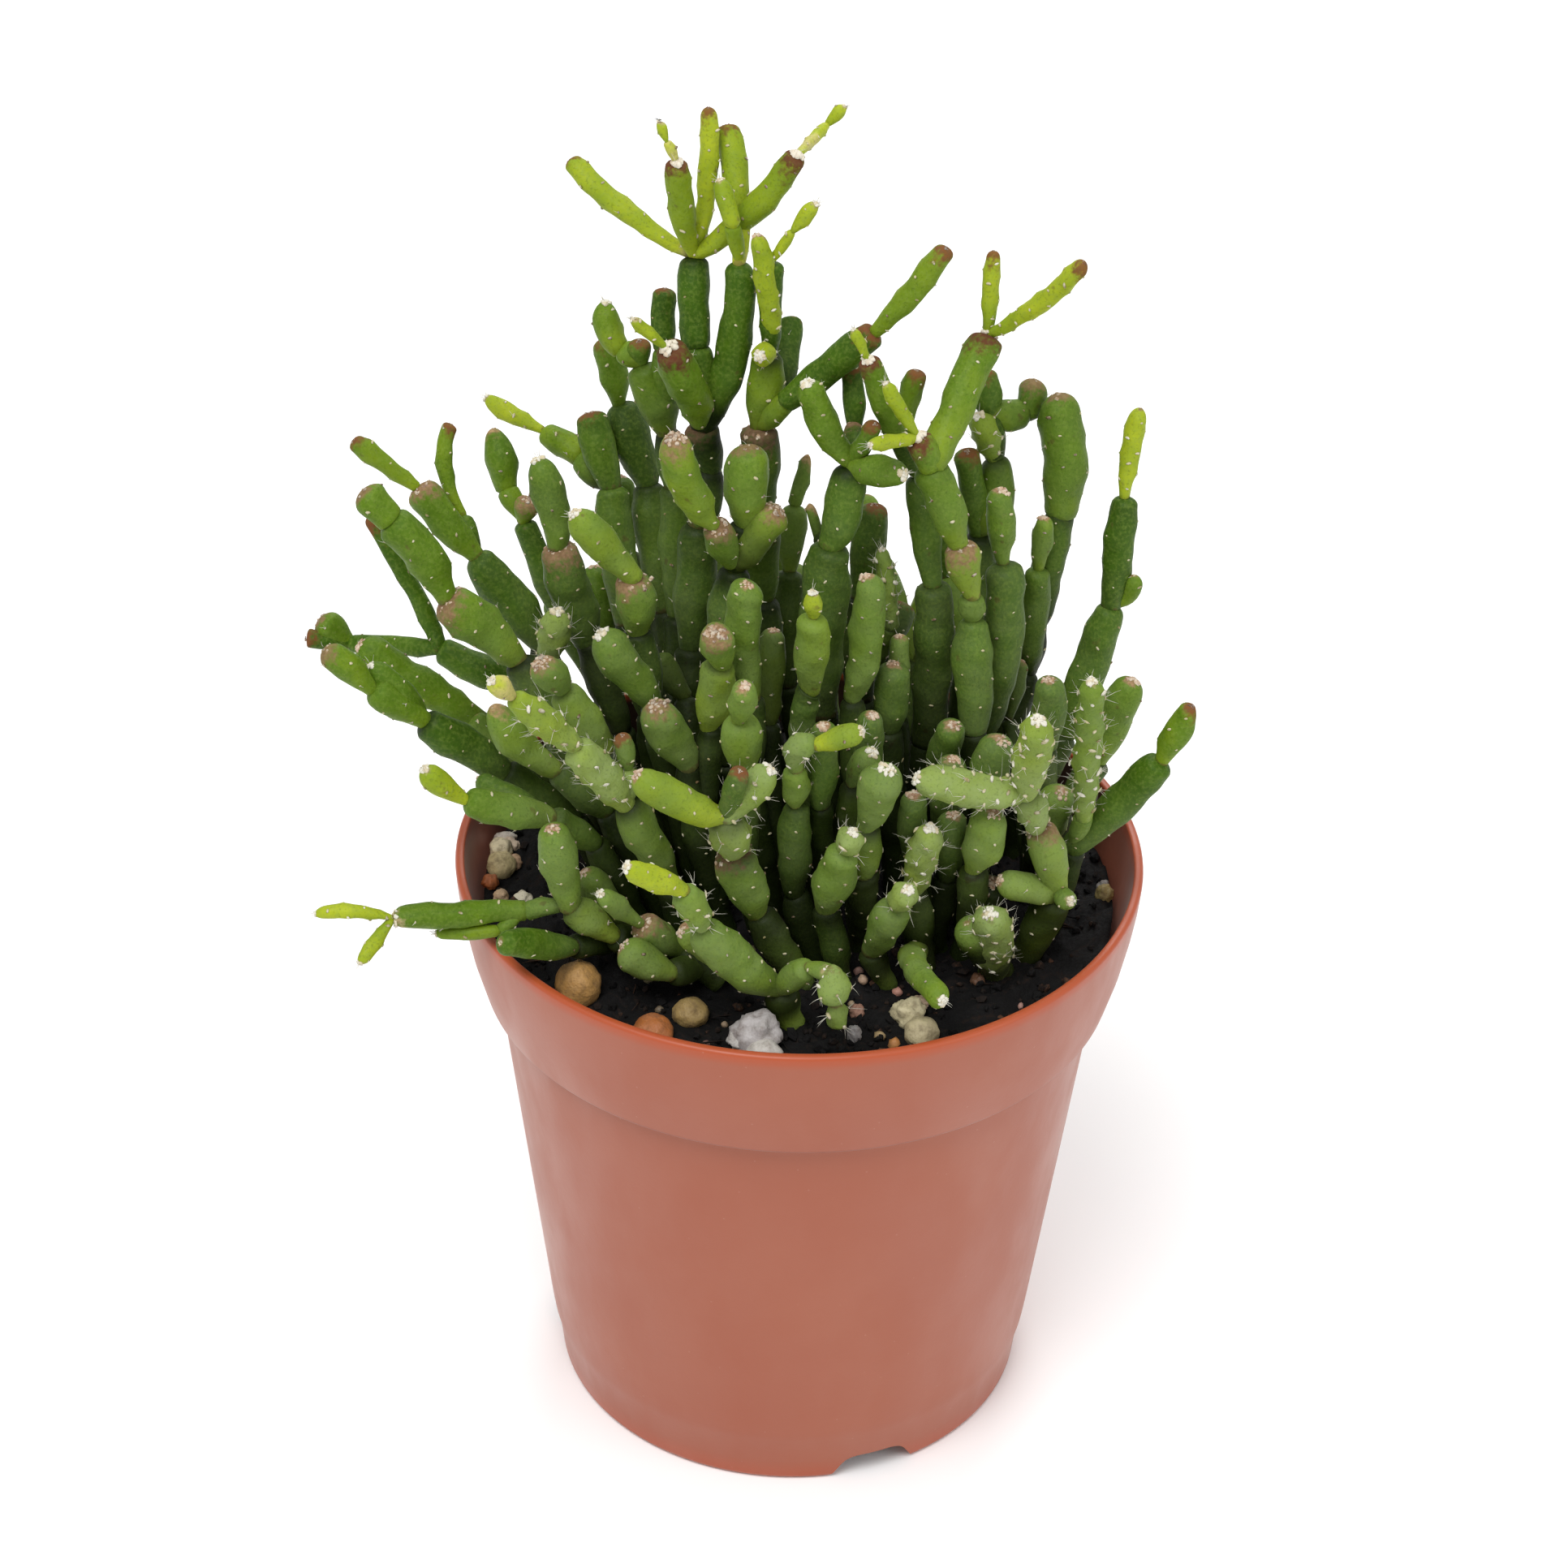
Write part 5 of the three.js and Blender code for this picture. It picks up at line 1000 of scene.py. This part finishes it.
skin = {
    "sides": 18,
    "step": 0.42,  # between rings along a segment
    "capAngles": (14, 28, 42, 55, 67, 78),  # the rings that round off its end, in degrees
    "margin": 0.4,  # how near the sides of the solids' box a skin begins to be pressed in
    "shadeAim": unit(toEye + np.array([-0.1, 0, 0.35])),  # where the light comes from
    "shadeReach": 16,  # how far off a stem still shades
    "shadeFrom": 0.95,  # how much has to stand in the way for the first shade and for the deepest
    "shadeTo": 2.6,
    "hairyShade": 0.55,  # how much of it hairy stems take
    "shades": [(0.0, 1.0), (0.35, 0.86), (0.7, 0.42), (1.0, 0.16)],  # the light left at each shade
    "looks": {
        # girth at the foot, where the belly is, girth at the waist, length of the cap, age from 0 lime
        # to 1 dark, one areole every so many mm2, how far the skin swells under it, how much pale bloom and
        # painted light
        "old": (0.7, 0.5, 0.82, 0.95, 0.72, 6.4, 0.1, 0.35),
        "green": (0.54, 0.6, 0.8, 1.1, 0.5, 4.0, 0.15, 0.5),
        "hairy": (0.58, 0.52, 0.76, 1.2, 0.38, 1.6, 0.24, 0.9),
        "fresh": (0.48, 0.64, 0.76, 1.1, 0.27, 4.2, 0.1, 0.2),
        "young": (0.5, 0.66, 0.76, 1.9, 0.14, 2.0, 0.13, 0.15),
        "straw": (0.5, 0.6, 0.8, 1.6, 0.02, 1.8, 0.12, 0),
    },
    # how much older the skin is at a segment's foot
    "footAge": {"old": 0.04, "green": -0.08, "hairy": 0, "fresh": -0.17, "young": 0.1, "straw": 0},
    "tips": {
        # colour of the scar, how far it reaches down from the tip, how blunt the tip is,
        # what it adds to the waist, and how long the cap is beside others
        "pink": (srgb(190, 150, 118), 0.9, 2.1, 0, 1),
        "brown": (srgb(132, 78, 46), 1.8, 2.9, 0, 0.8),
        "ring": (srgb(104, 46, 38), 2.2, 3.2, 0.06, 0.8),
        "cork": (srgb(166, 130, 100), 2.2, 2.3, 0.06, 1),
        "tan": (srgb(150, 124, 88), 2.0, 2.2, 0.04, 1),
        "taper": (srgb(186, 152, 112), 1.7, 1.5, -0.3, 1.8),
        "wool": (srgb(204, 186, 140), 0.6, 1.6, 0, 1.1),
        "": (srgb(160, 138, 92), 0.5, 2.0, 0, 1),
    },
    # from the youngest skin to the oldest
    "ages": [(0.0, srgb(208, 196, 120)), (0.06, srgb(188, 200, 44)), (0.27, srgb(146, 168, 32)),
             (0.5, srgb(98, 130, 24)), (0.74, srgb(64, 98, 10)), (1.0, srgb(40, 62, 12))],
    "bloom": srgb(156, 174, 108),
    "joint": srgb(118, 92, 62),
    "speck": srgb(156, 172, 96),
    "pale": srgb(140, 162, 70),
    "pore": srgb(46, 66, 16),
    "blemish": srgb(96, 78, 44),
    "mottle": srgb(110, 78, 54),
}
goldenAngle = 2.39996  # from one areole to the next round a stem


def lookOf(segment):
    # its numbers by name, its kind of skin and its kind of tip
    kind, *words = segment["look"].split()
    names = ("foot", "belly", "waist", "cap", "age", "area", "bump", "bloom")
    tip = words[0] if words and words[0] != "through" else ""
    return dict(zip(names, skin["looks"][kind])), kind, tip


def girthAlong(look, foot, widen, share, rng):
    # a bottle: narrow foot, belly, waist, each a little different from stem to stem
    belly = np.clip(look["belly"] + rng.normal(0, 0.08), 0.35, 0.85)
    waist = np.clip(look["waist"] + widen + rng.normal(0, 0.06), 0.42, 0.96)
    low = foot + (1 - foot) * np.sin(np.minimum(share / belly, 1) * math.pi / 2) ** 1.15
    high = 1 - (1 - waist) * (np.maximum(share - belly, 0) / (1 - belly)) ** 1.8
    return np.where(share < belly, low, high)


def areolePlaces(look, radius, isRooted, length, cap, isTip, phase, rng):
    # heights and turns of the areoles, on a spiral round the segment
    spacing = look["area"] / (2 * math.pi * radius)
    firstAt = (0.9 if isRooted else 0.6) + rng.uniform(0, spacing)
    lastAt = length - cap * (0.55 if isTip else 1)
    count = max(0, int((lastAt - firstAt) / spacing) + 1)
    at = firstAt + spacing * np.arange(count) + rng.normal(0, 0.16, count)
    turn = (goldenAngle * np.arange(count) + phase + rng.normal(0, 0.16, count)) % (2 * math.pi)
    return at, turn


def segmentShape(segment, joints, children, rng):
    # one closed bottle: points, faces, the numbers its material reads, its areoles and its tip
    look, kind, tip = lookOf(segment)
    start, end = joints[segment["from"]]["place"], joints[segment["to"]]["place"]
    chord = end - start
    length = np.linalg.norm(chord)
    radius = segment["girth"] / 2
    isTip, isRooted = not children, segment["isRooted"]
    isThrough = "through" in joints[segment["from"]]["look"]
    foot = growth["pegShare"] if isRooted else look["foot"] + rng.normal(0, 0.04)
    if isThrough:
        foot = min(0.44 * (girthBelow[segment["from"]] + segment["girth"]) / segment["girth"], 0.95)
    sunk = 2.0 if isRooted else 0.45 * radius
    scar, scarReach, blunt, widen, capLong = skin["tips"][tip]
    if "through" in segment["look"] and not isTip:
        widen = 0.12
    cap = min(0.5 * length, radius * look["waist"] * look["cap"] * (1 if isTip else 0.7) * capLong)

    # rings along the segment, then round the cap, as distances from the start joint
    body = np.linspace(-sunk, length - cap, max(5, math.ceil((length + sunk - cap) / skin["step"]) + 1))
    capAngles = np.radians(skin["capAngles"])
    along = np.concatenate([body, length - cap + cap * np.sin(capAngles)])
    share = np.clip(along / length, 0, 1)
    girths = girthAlong(look, foot, widen, share, rng)
    edge = girths[len(body) - 1]
    girths[len(body):] = edge * np.sqrt(1 - np.sin(capAngles) ** blunt)
    if not isRooted:
        rounded = girths * np.sqrt(np.maximum(0.15, 1 - (along / (sunk * 1.1)) ** 2))
        girths = np.where(along < 0, rounded, girths)

    # the frame that each ring lies in
    lengthShare = along / length
    bend = segment["bow"] * (4 * lengthShare * (1 - lengthShare))[:, None]
    centres = start + chord * lengthShare[:, None] + bend
    tangents = unit(chord + segment["bow"] * (4 * (1 - 2 * lengthShare))[:, None])
    helper = np.array([0, 0, 1.0]) if abs(chord[2]) < 0.8 * length else np.array([0, 1.0, 0])
    side = unit(np.cross(helper, chord))
    sides = unit(side - tangents * (tangents @ side)[:, None])
    fronts = np.cross(tangents, sides)
    phase = rng.uniform(0, 2 * math.pi, 4)
    crook = 0.05 * radius * np.sin(along * 1.1 + phase[0])
    sag = 0.05 * radius * np.sin(along * 0.9 + phase[1])
    centres = centres + sides * crook[:, None] + fronts * sag[:, None]

    # ring radii: an uneven round with a low swelling under each areole
    at, turn = areolePlaces(look, radius, isRooted, length, cap, isTip, phase[2], rng)
    angles = 2 * math.pi * np.arange(skin["sides"]) / skin["sides"]
    radii = radius * girths[:, None] * np.ones(skin["sides"])
    uneven = 0.03 * np.sin(2 * angles + phase[3] + 0.35 * along[:, None])
    uneven += (0.034 * np.sin(along[:, None] * 1.5 + phase[0])
               + 0.018 * np.sin(3 * angles + along[:, None] * 0.8))
    uneven += 0.016 * np.sin(along[:, None] * 3.1 + angles + phase[1])
    radii = radii * (1 + uneven)
    swell = min(0.34 * math.sqrt(look["area"]), 0.7 * radius)
    swollen = min(look["bump"], 0.3 * radius)
    for height, angle in zip(at, turn):
        gap = np.abs((angles - angle + math.pi) % (2 * math.pi) - math.pi) * radius
        near = np.exp(-((along[:, None] - height) ** 2 + gap ** 2) / swell ** 2)
        radii = radii + swollen * near
    outward = np.cos(angles)[None, :, None] * sides[:, None, :]
    outward = outward + np.sin(angles)[None, :, None] * fronts[:, None, :]
    points = centres[:, None, :] + radii[:, :, None] * outward
    rings, around = radii.shape
    poles = np.array([centres[0] - tangents[0] * 0.1, centres[-1] + tangents[-1] * cap * 0.02])
    faces = ringFaces(rings, around, 0, (rings * around, rings * around + 1))

    # what the material reads at each point
    step = np.hypot(np.diff(along), np.diff(radius * girths))
    toPole = np.concatenate([np.cumsum(step[::-1])[::-1], [0]]) + radius * girths[-1]
    reach = scarReach if isTip else scarReach * 0.8 + radius * 0.9
    reach = reach * (1 + 0.3 * np.cos(angles - phase[1]))
    tipMask = np.clip(1 - toPole[:, None] / reach, 0, 1) if tip or isTip else np.zeros(radii.shape)
    jointMask = np.clip(1 - np.maximum(along, 0) / 0.4, 0, 1) * (0 if isRooted or isThrough else 1)
    age = look["age"] + rng.normal(0, 0.05 if kind in ("old", "green", "hairy") else 0.02)
    footward = np.maximum(1 - share / 0.6, 0) ** 1.3
    fade = footward * skin["footAge"][kind] + 0.04 * share
    fromAxis = np.hypot(centres[:, 0], centres[:, 1])
    # the pale bloom, partly painted light, on the lower stems near the middle
    lowDown, inMiddle = np.clip((90 - centres[:, 2]) / 26, 0, 1), np.clip((28 - fromAxis) / 7, 0, 1)
    bloom = look["bloom"] * lowDown * inMiddle
    shade = shadeAt(centres, segment)
    # tips and scars take less of the painted shade
    tipShade = (shade[:, None] * (1 - 0.55 * tipMask)).ravel()
    values = {
        "age": perPoint(np.clip(age + fade, 0, 1), around),
        "tip": np.concatenate([tipMask.ravel(), [0, tipMask[-1].max()]]),
        "joint": perPoint(jointMask * rng.uniform(0.3, 1), around),
        "tone": perPoint(np.full(rings, rng.uniform(-1, 1)), around),
        "bloom": perPoint(bloom, around),
        "shade": np.concatenate([tipShade, [shade[0], 0.45 * shade[-1]]]),
        "scar": np.tile(np.array(scar), (rings * around + 2, 1)),
    }
    spots = [areoleSpot(points, along, tangents, outward, *place) for place in zip(at, turn)]
    allPoints = np.concatenate([points.reshape(-1, 3), poles])
    top = (poles[1], tangents[-1], radius * edge)
    return allPoints, faces, values, spots, top, kind, tip, isTip, radius


def shadeAt(places, segment):
    # painted shade: how far a place is hemmed in by the stems above it and in front of it, 0 to 1, and more
    # near the soil
    offset = allBeads["place"][None, :, :] - places[:, None, :]
    squares = (offset ** 2).sum(axis=2)
    facing = np.maximum(offset @ skin["shadeAim"], 0) / np.sqrt(squares + 0.01)
    isOther = (allBeads["owner"] != (segment["from"], segment["to"])).any(axis=1)
    near = (squares < skin["shadeReach"] ** 2) & isOther
    hidden = (near * facing * allBeads["radius"] ** 2 / (squares + 1)).sum(axis=1)
    shade = (hidden - skin["shadeFrom"]) / (skin["shadeTo"] - skin["shadeFrom"])
    low = np.clip(1 - (places[:, 2] - soil["level"]) / 10, 0, 1)
    amount = skin["hairyShade"] if segment["look"].startswith("hairy") else 1
    return np.clip((np.maximum(shade, 0) * (1 + 0.8 * low) + 0.2 * low) * amount, 0, 1)


def perPoint(values, around):
    # one value a ring, given to each of its points and to the poles
    return np.concatenate([np.repeat(values, around), [values[0], values[-1]]])


def areoleSpot(points, along, tangents, outward, height, angle):
    # where an areole sits on the skin, the way out and the way up the stem
    rings, around = points.shape[:2]
    ring = np.interp(height, along, np.arange(rings))
    below = min(int(ring), rings - 2)
    column = angle / (2 * math.pi) * around
    left = int(column) % around
    right = (left + 1) % around
    blend = column - int(column)
    lower = points[below, left] * (1 - blend) + points[below, right] * blend
    upper = points[below + 1, left] * (1 - blend) + points[below + 1, right] * blend
    place = lower + (upper - lower) * (ring - below)
    out = outward[below, left]
    slope = unit(upper - lower)
    normal = unit(np.cross(np.cross(tangents[below], out), slope))
    return place, normal if normal @ out > 0 else -normal, slope


def makeSkinPaint():
    gloss = {"Specular_IOR_Level": 0.14, "Subsurface_Weight": 0.1, "Subsurface_Scale": 0.0008}
    paint = Paint("cactusSkin", 0.5, **gloss)
    paint.shader.inputs["Subsurface Radius"].default_value = (0.6, 1.0, 0.2)
    broad = paint.noise(3.2, detail=3)
    fine = paint.noise(0.3, detail=3)
    worn = paint.maths("ADD", paint.value("age"), paint.span(broad, 0.25, 0.75, -0.07, 0.07))
    worn = paint.maths("ADD", worn, paint.maths("MULTIPLY", paint.value("tone"), 0.04))
    colour = paint.ramp(worn, skin["ages"])
    # a pale grey-green bloom on the lower stems in the middle, partly painted light that brightens them
    bloom = paint.maths("MULTIPLY", paint.value("bloom"), paint.span(broad, 0.3, 0.7, 0.45, 1.0))
    colour = paint.mix(bloom, colour, skin["bloom"])
    freckle = paint.span(paint.cells(0.36), 0.04, 0.17, 0.28, 0)
    paleShare = paint.span(fine, 0.4, 0.7, 0, 0.28)
    pore = paint.span(paint.noise(0.22, detail=2), 0.3, 0.46, 0.26, 0)
    blemish = paint.span(paint.noise(1.1, detail=2, roughness=0.4), 0.7, 0.78, 0, 0.5)
    for share, name in ((freckle, "speck"), (paleShare, "pale"), (pore, "pore"), (blemish, "blemish")):
        colour = paint.mix(share, colour, skin[name])
    # joints and tips with ragged edges
    edge = paint.noise(0.5, detail=4, roughness=0.6)
    raggedJoint = paint.span(edge, 0.3, 0.7, -0.45, 0.25, smooth=False)
    joint = paint.maths("ADD", paint.value("joint"), raggedJoint)
    colour = paint.mix(paint.span(joint, 0.35, 0.75, 0, 0.6), colour, skin["joint"])
    raggedTip = paint.span(edge, 0.3, 0.7, -0.3, 0.3, smooth=False)
    scar = paint.maths("ADD", paint.value("tip"), raggedTip)
    scarShare = paint.span(scar, 0.2, 0.75, 0, 0.92)
    mottle = paint.mix(paint.span(fine, 0.35, 0.65, 0, 0.5), paint.value("scar", "Color"), skin["mottle"])
    colour = paint.mix(scarShare, colour, mottle)
    # painted shade: the crowded middle of the clump and the stems near the soil are darkened
    shade = paint.ramp(paint.value("shade"), skin["shades"])
    paint.colour(paint.mix(1.0, colour, shade, kind="MULTIPLY"))
    paint.roughness(paint.mix(scarShare, paint.span(broad, 0.3, 0.7, 0.46, 0.6), (0.85, 0.85, 0.85, 1)))
    paint.bump(paint.mix(0.35, fine, edge), 0.08)
    return paint.material


def makeWoolPaint():
    paint = Paint("areoleWool", 0.85, Specular_IOR_Level=0.3)
    blend = paint.noise(0.35, detail=3)
    paleShare = paint.span(blend, 0.35, 0.7, 0, 0.6)
    paint.colour(paint.mix(paleShare, paint.value("tint", "Color"), areole["palest"]))
    paint.bump(blend, 0.06)
    return paint.material


def makeHairPaint():
    paint = Paint("areoleHair", 0.5, Specular_IOR_Level=0.5)
    blend = paint.noise(0.8, detail=2)
    paint.colour(paint.mix(blend, areole["whiteHair"], areole["yellowHair"]))
    return paint.material


areole = {
    "looks": {
        # half width of the cushion, hairs on each, their length, share of cushions that have them
        "old": (0.09, 1, 0.28, 0.1),
        "green": (0.1, 2, 0.36, 0.3),
        "hairy": (0.15, 3, 0.9, 0.9),
        "fresh": (0.115, 1, 0.3, 0.25),
        "young": (0.105, 2, 0.3, 0.4),
        "straw": (0.1, 1, 0.3, 0.3),
    },
    "hairWidth": 0.04,
    "brown": srgb(118, 92, 56),
    "cream": srgb(206, 196, 150),
    "tan": srgb(158, 146, 96),
    "white": srgb(232, 228, 208),
    "palest": srgb(244, 238, 220),
    "whiteHair": srgb(240, 238, 226),
    "yellowHair": srgb(214, 208, 186),
}
tipWool = {
    # lumps, how far they spread, their size in mm, bristles, and the two tints they take
    "pink": (10, 0.4, 0.19, 1, (srgb(208, 176, 146), srgb(174, 134, 104))),
    "cork": (17, 0.6, 0.2, 2, (srgb(186, 154, 124), srgb(140, 108, 84))),
    "tan": (4, 0.5, 0.16, 1, (srgb(170, 142, 104), srgb(126, 98, 66))),
    "taper": (2, 0.2, 0.12, 0, (srgb(170, 142, 104), srgb(126, 98, 66))),
    "brown": (5, 0.3, 0.14, 0, (srgb(124, 86, 58), srgb(96, 60, 42))),
    "ring": (18, 0.5, 0.27, 6, (srgb(240, 230, 210), srgb(226, 208, 182))),
    "wool": (13, 0.42, 0.22, 9, (srgb(240, 236, 220), srgb(222, 208, 172))),
    "": (2, 0.15, 0.14, 1, (srgb(206, 192, 150), srgb(160, 132, 92))),
}


def makeStems():
    skinPaint, woolPaint, hairPaint = makeSkinPaint(), makeWoolPaint(), makeHairPaint()
    rng = np.random.default_rng(71)
    dots, wool = [{key: [] for key in ("place", "axes", "size", "tint")} for _ in range(2)]
    hairs = {key: [] for key in ("start", "direction", "bend", "length", "width")}
    for stem, (name, _, _) in enumerate(stems + backStems):
        parts, values = [], {}
        own = [segment for segment in segments if segment["stem"] == stem]
        for segment in own:
            children = [other for other in own if other["from"] == segment["to"]]
            shape = segmentShape(segment, joints, children, rng)
            points, faces, numbers, spots, top, kind, tip, isTip, radius = shape
            parts.append((points, faces))
            for key, array in numbers.items():
                values.setdefault(key, []).append(array)
            for place, normal, upward in spots:
                addAreole(dots, hairs, kind, place, normal, upward, rng)
            if tip or isTip:
                addTip(wool, hairs, top, tip, isTip, radius, rng)
        points, faces = joined(parts)
        piece = addPiece(f"skin_{name}", eased(points), faces, skinPaint, slot="stem_skin")
        for key, arrays in values.items():
            addValues(piece, key, np.concatenate(arrays))
        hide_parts(f"stem_{name}")
    tufts = (("areoles", dots, domeShape(7, 2), 0.08), ("woolTips", wool, ballShape(2), 0.2))
    for pieceName, group, shape, rough in tufts:
        places, axes, sizes, tints = (np.array(values) for values in group.values())
        points, faces = scatter(shape, places, axes, sizes, rng, rough)
        piece = addPiece(pieceName, keptInside(points), faces, woolPaint)
        addValues(piece, "tint", np.repeat(tints, len(shape[0]), axis=0))
        print(pieceName, len(places))
    points, faces = strands(*(np.array(values) for values in hairs.values()))
    addPiece("hairs", keptInside(points), faces, hairPaint)
    print("hairs", len(hairs["start"]))


def keptInside(points):
    # nothing stands out beyond the solids' own box
    low, high = np.array(cadBox) / mm
    return np.clip(points, low + 0.01, high - 0.01)


def eased(points):
    # skins near the sides of the solids' box are pressed in softly
    low, high = np.array(cadBox) / mm
    margin = skin["margin"]
    over = np.maximum(points - (high - margin), 0)
    under = np.maximum(low + margin - points, 0)
    points = np.where(over > 0, high - margin + margin * (1 - np.exp(-over / margin)), points)
    return np.where(under > 0, low + margin - margin * (1 - np.exp(-under / margin)), points)


def axesOf(normal, upward, twist):
    # three axes as rows: across the stem, up it and out of it, turned by twist
    across = unit(np.cross(upward, normal))
    along = np.cross(normal, across)
    return np.array([across * math.cos(twist) + along * math.sin(twist),
                     along * math.cos(twist) - across * math.sin(twist), normal])


def addAreole(dots, hairs, kind, place, normal, upward, rng):
    size, hairCount, hairLength, hairShare = areole["looks"][kind]
    scale = size * rng.uniform(0.7, 1.3)
    dots["place"].append(place)
    dots["axes"].append(axesOf(normal, upward, rng.normal(0, 0.5)))
    dots["size"].append((scale * rng.uniform(1.2, 2.3), scale, scale * 0.7))
    pale = rng.uniform(0, 1) + (0.35 if kind in ("young", "hairy") else 0)
    tint = "brown" if pale < 0.22 else "tan" if pale < 0.55 else "cream" if pale < 1.05 else "white"
    dots["tint"].append(areole[tint])
    if rng.uniform() < hairShare:
        for _ in range(hairCount):
            aim = normal * rng.uniform(0.45, 1.0) + upward * rng.uniform(0.1, 0.9)
            aim = unit(aim + rng.normal(0, 0.4, 3))
            if aim @ normal < 0.2:
                aim = unit(aim + normal * 0.6)
            bend = rng.normal(0, 0.22, 3) + upward * 0.15
            addHair(hairs, place, aim, bend, hairLength * rng.uniform(0.55, 1.3), rng)


def addHair(hairs, start, direction, bend, length, rng):
    hairs["start"].append(start)
    hairs["direction"].append(direction)
    hairs["bend"].append(bend)
    hairs["length"].append(length)
    hairs["width"].append(areole["hairWidth"] * rng.uniform(0.7, 1.3))


def addTip(wool, hairs, top, tip, isTip, radius, rng):
    # the woolly or corky wart at the end of a segment
    place, axis, edge = top
    count, spread, size, hairCount, tints = tipWool[tip]
    side = unit(np.cross(axis, rng.standard_normal(3)))
    front = np.cross(axis, side)
    reach = max(edge, 0.5 * radius)
    lean = 0
    if tip in ("cork", "pink"):
        lean = (side * rng.normal(0, 0.14) + front * rng.normal(0, 0.14)) * reach
    for index in range(count):
        angle = goldenAngle * index + rng.uniform(0, 0.7)
        out = spread * reach * math.sqrt((index + 0.2) / count)
        if not isTip and tip != "ring":
            out = reach * rng.uniform(0.5, 0.8)
        offset = (side * math.cos(angle) + front * math.sin(angle)) * out + lean
        drop = 0.42 * (offset @ offset) / reach
        if tip == "ring":
            drop -= 0.36 * reach * (1 - out / reach)
        scale = size * min(1, reach) * rng.uniform(0.6, 1.3)
        wool["place"].append(place + offset - axis * (drop + scale * 0.35))
        outward = unit(axis + offset * 0.5)
        wool["axes"].append(axesOf(outward, unit(np.cross(outward, side)), 0))
        wool["size"].append((scale, scale * rng.uniform(0.7, 1.1), scale * 0.8))
        wool["tint"].append(tints[0] if rng.uniform() < 0.62 else tints[1])
    for _ in range(hairCount):
        out = unit(rng.standard_normal(3))
        aim = unit(axis * 0.9 + out * 0.8)
        start = place + out * edge * 0.25
        addHair(hairs, start, aim, rng.normal(0, 0.3, 3), rng.uniform(0.3, 0.7), rng)


makeStems()
print("stems made")


studio = {
    "floorSize": 3000,
    "floorColour": (0.985, 0.985, 0.985, 1),
    "floorCloud": (0.96, 0.96, 0.96, 1),
    "skyColour": (1, 1, 1, 1),
    "skyStrength": 0.64,
    "lamps": [
        # name, place, aim, width, watts
        ("keyLamp", (-130, -270, 600), (0, 0, 60), 380, 2.7),
        ("fillLamp", (430, -240, 320), (0, 0, 55), 300, 0.55),
        ("backLamp", (60, 420, 460), (0, 0, 70), 300, 1.1),
    ],
}


def makeStudio():
    paint = Paint("paleFloor", 0.8, Specular_IOR_Level=0.1)
    paint.colour(paint.mix(paint.noise(60, detail=2), studio["floorColour"], studio["floorCloud"]))
    half = studio["floorSize"] / 2
    corners = [(-half, -half, 0), (half, -half, 0), (half, half, 0), (-half, half, 0)]
    floor = addPiece("floor", corners, [[0, 1, 2, 3]], paint.material, body=None, smooth=False)
    world = bpy.data.worlds.new("studio")
    world.use_nodes = True
    background = world.node_tree.nodes["Background"]
    background.inputs["Color"].default_value = studio["skyColour"]
    background.inputs["Strength"].default_value = studio["skyStrength"]
    bpy.context.scene.world = world
    for name, place, target, width, watts in studio["lamps"]:
        lamp = bpy.data.lights.new(name, "AREA")
        lamp.shape = "DISK"
        lamp.size = width * mm
        lamp.energy = watts
        holder = bpy.data.objects.new(name, lamp)
        bpy.context.scene.collection.objects.link(holder)
        holder.location = Vector(place) * mm
        holder.rotation_euler = (Vector(place) - Vector(target)).to_track_quat("Z", "Y").to_euler()


def makeCamera():
    lens = bpy.data.cameras.new("camera")
    lens.lens = sight["focal"]
    lens.sensor_width = 36
    lens.clip_start, lens.clip_end = 0.01, 20
    camera = bpy.data.objects.new("camera", lens)
    bpy.context.scene.collection.objects.link(camera)
    turn = Matrix([boardRight, boardUp, toEye]).transposed().to_4x4()
    camera.matrix_world = Matrix.Translation(Vector(eye * mm)) @ turn
    bpy.context.scene.camera = camera


makeStudio()
makeCamera()
bpy.context.scene.view_settings.view_transform = "Standard"
print("studio made")
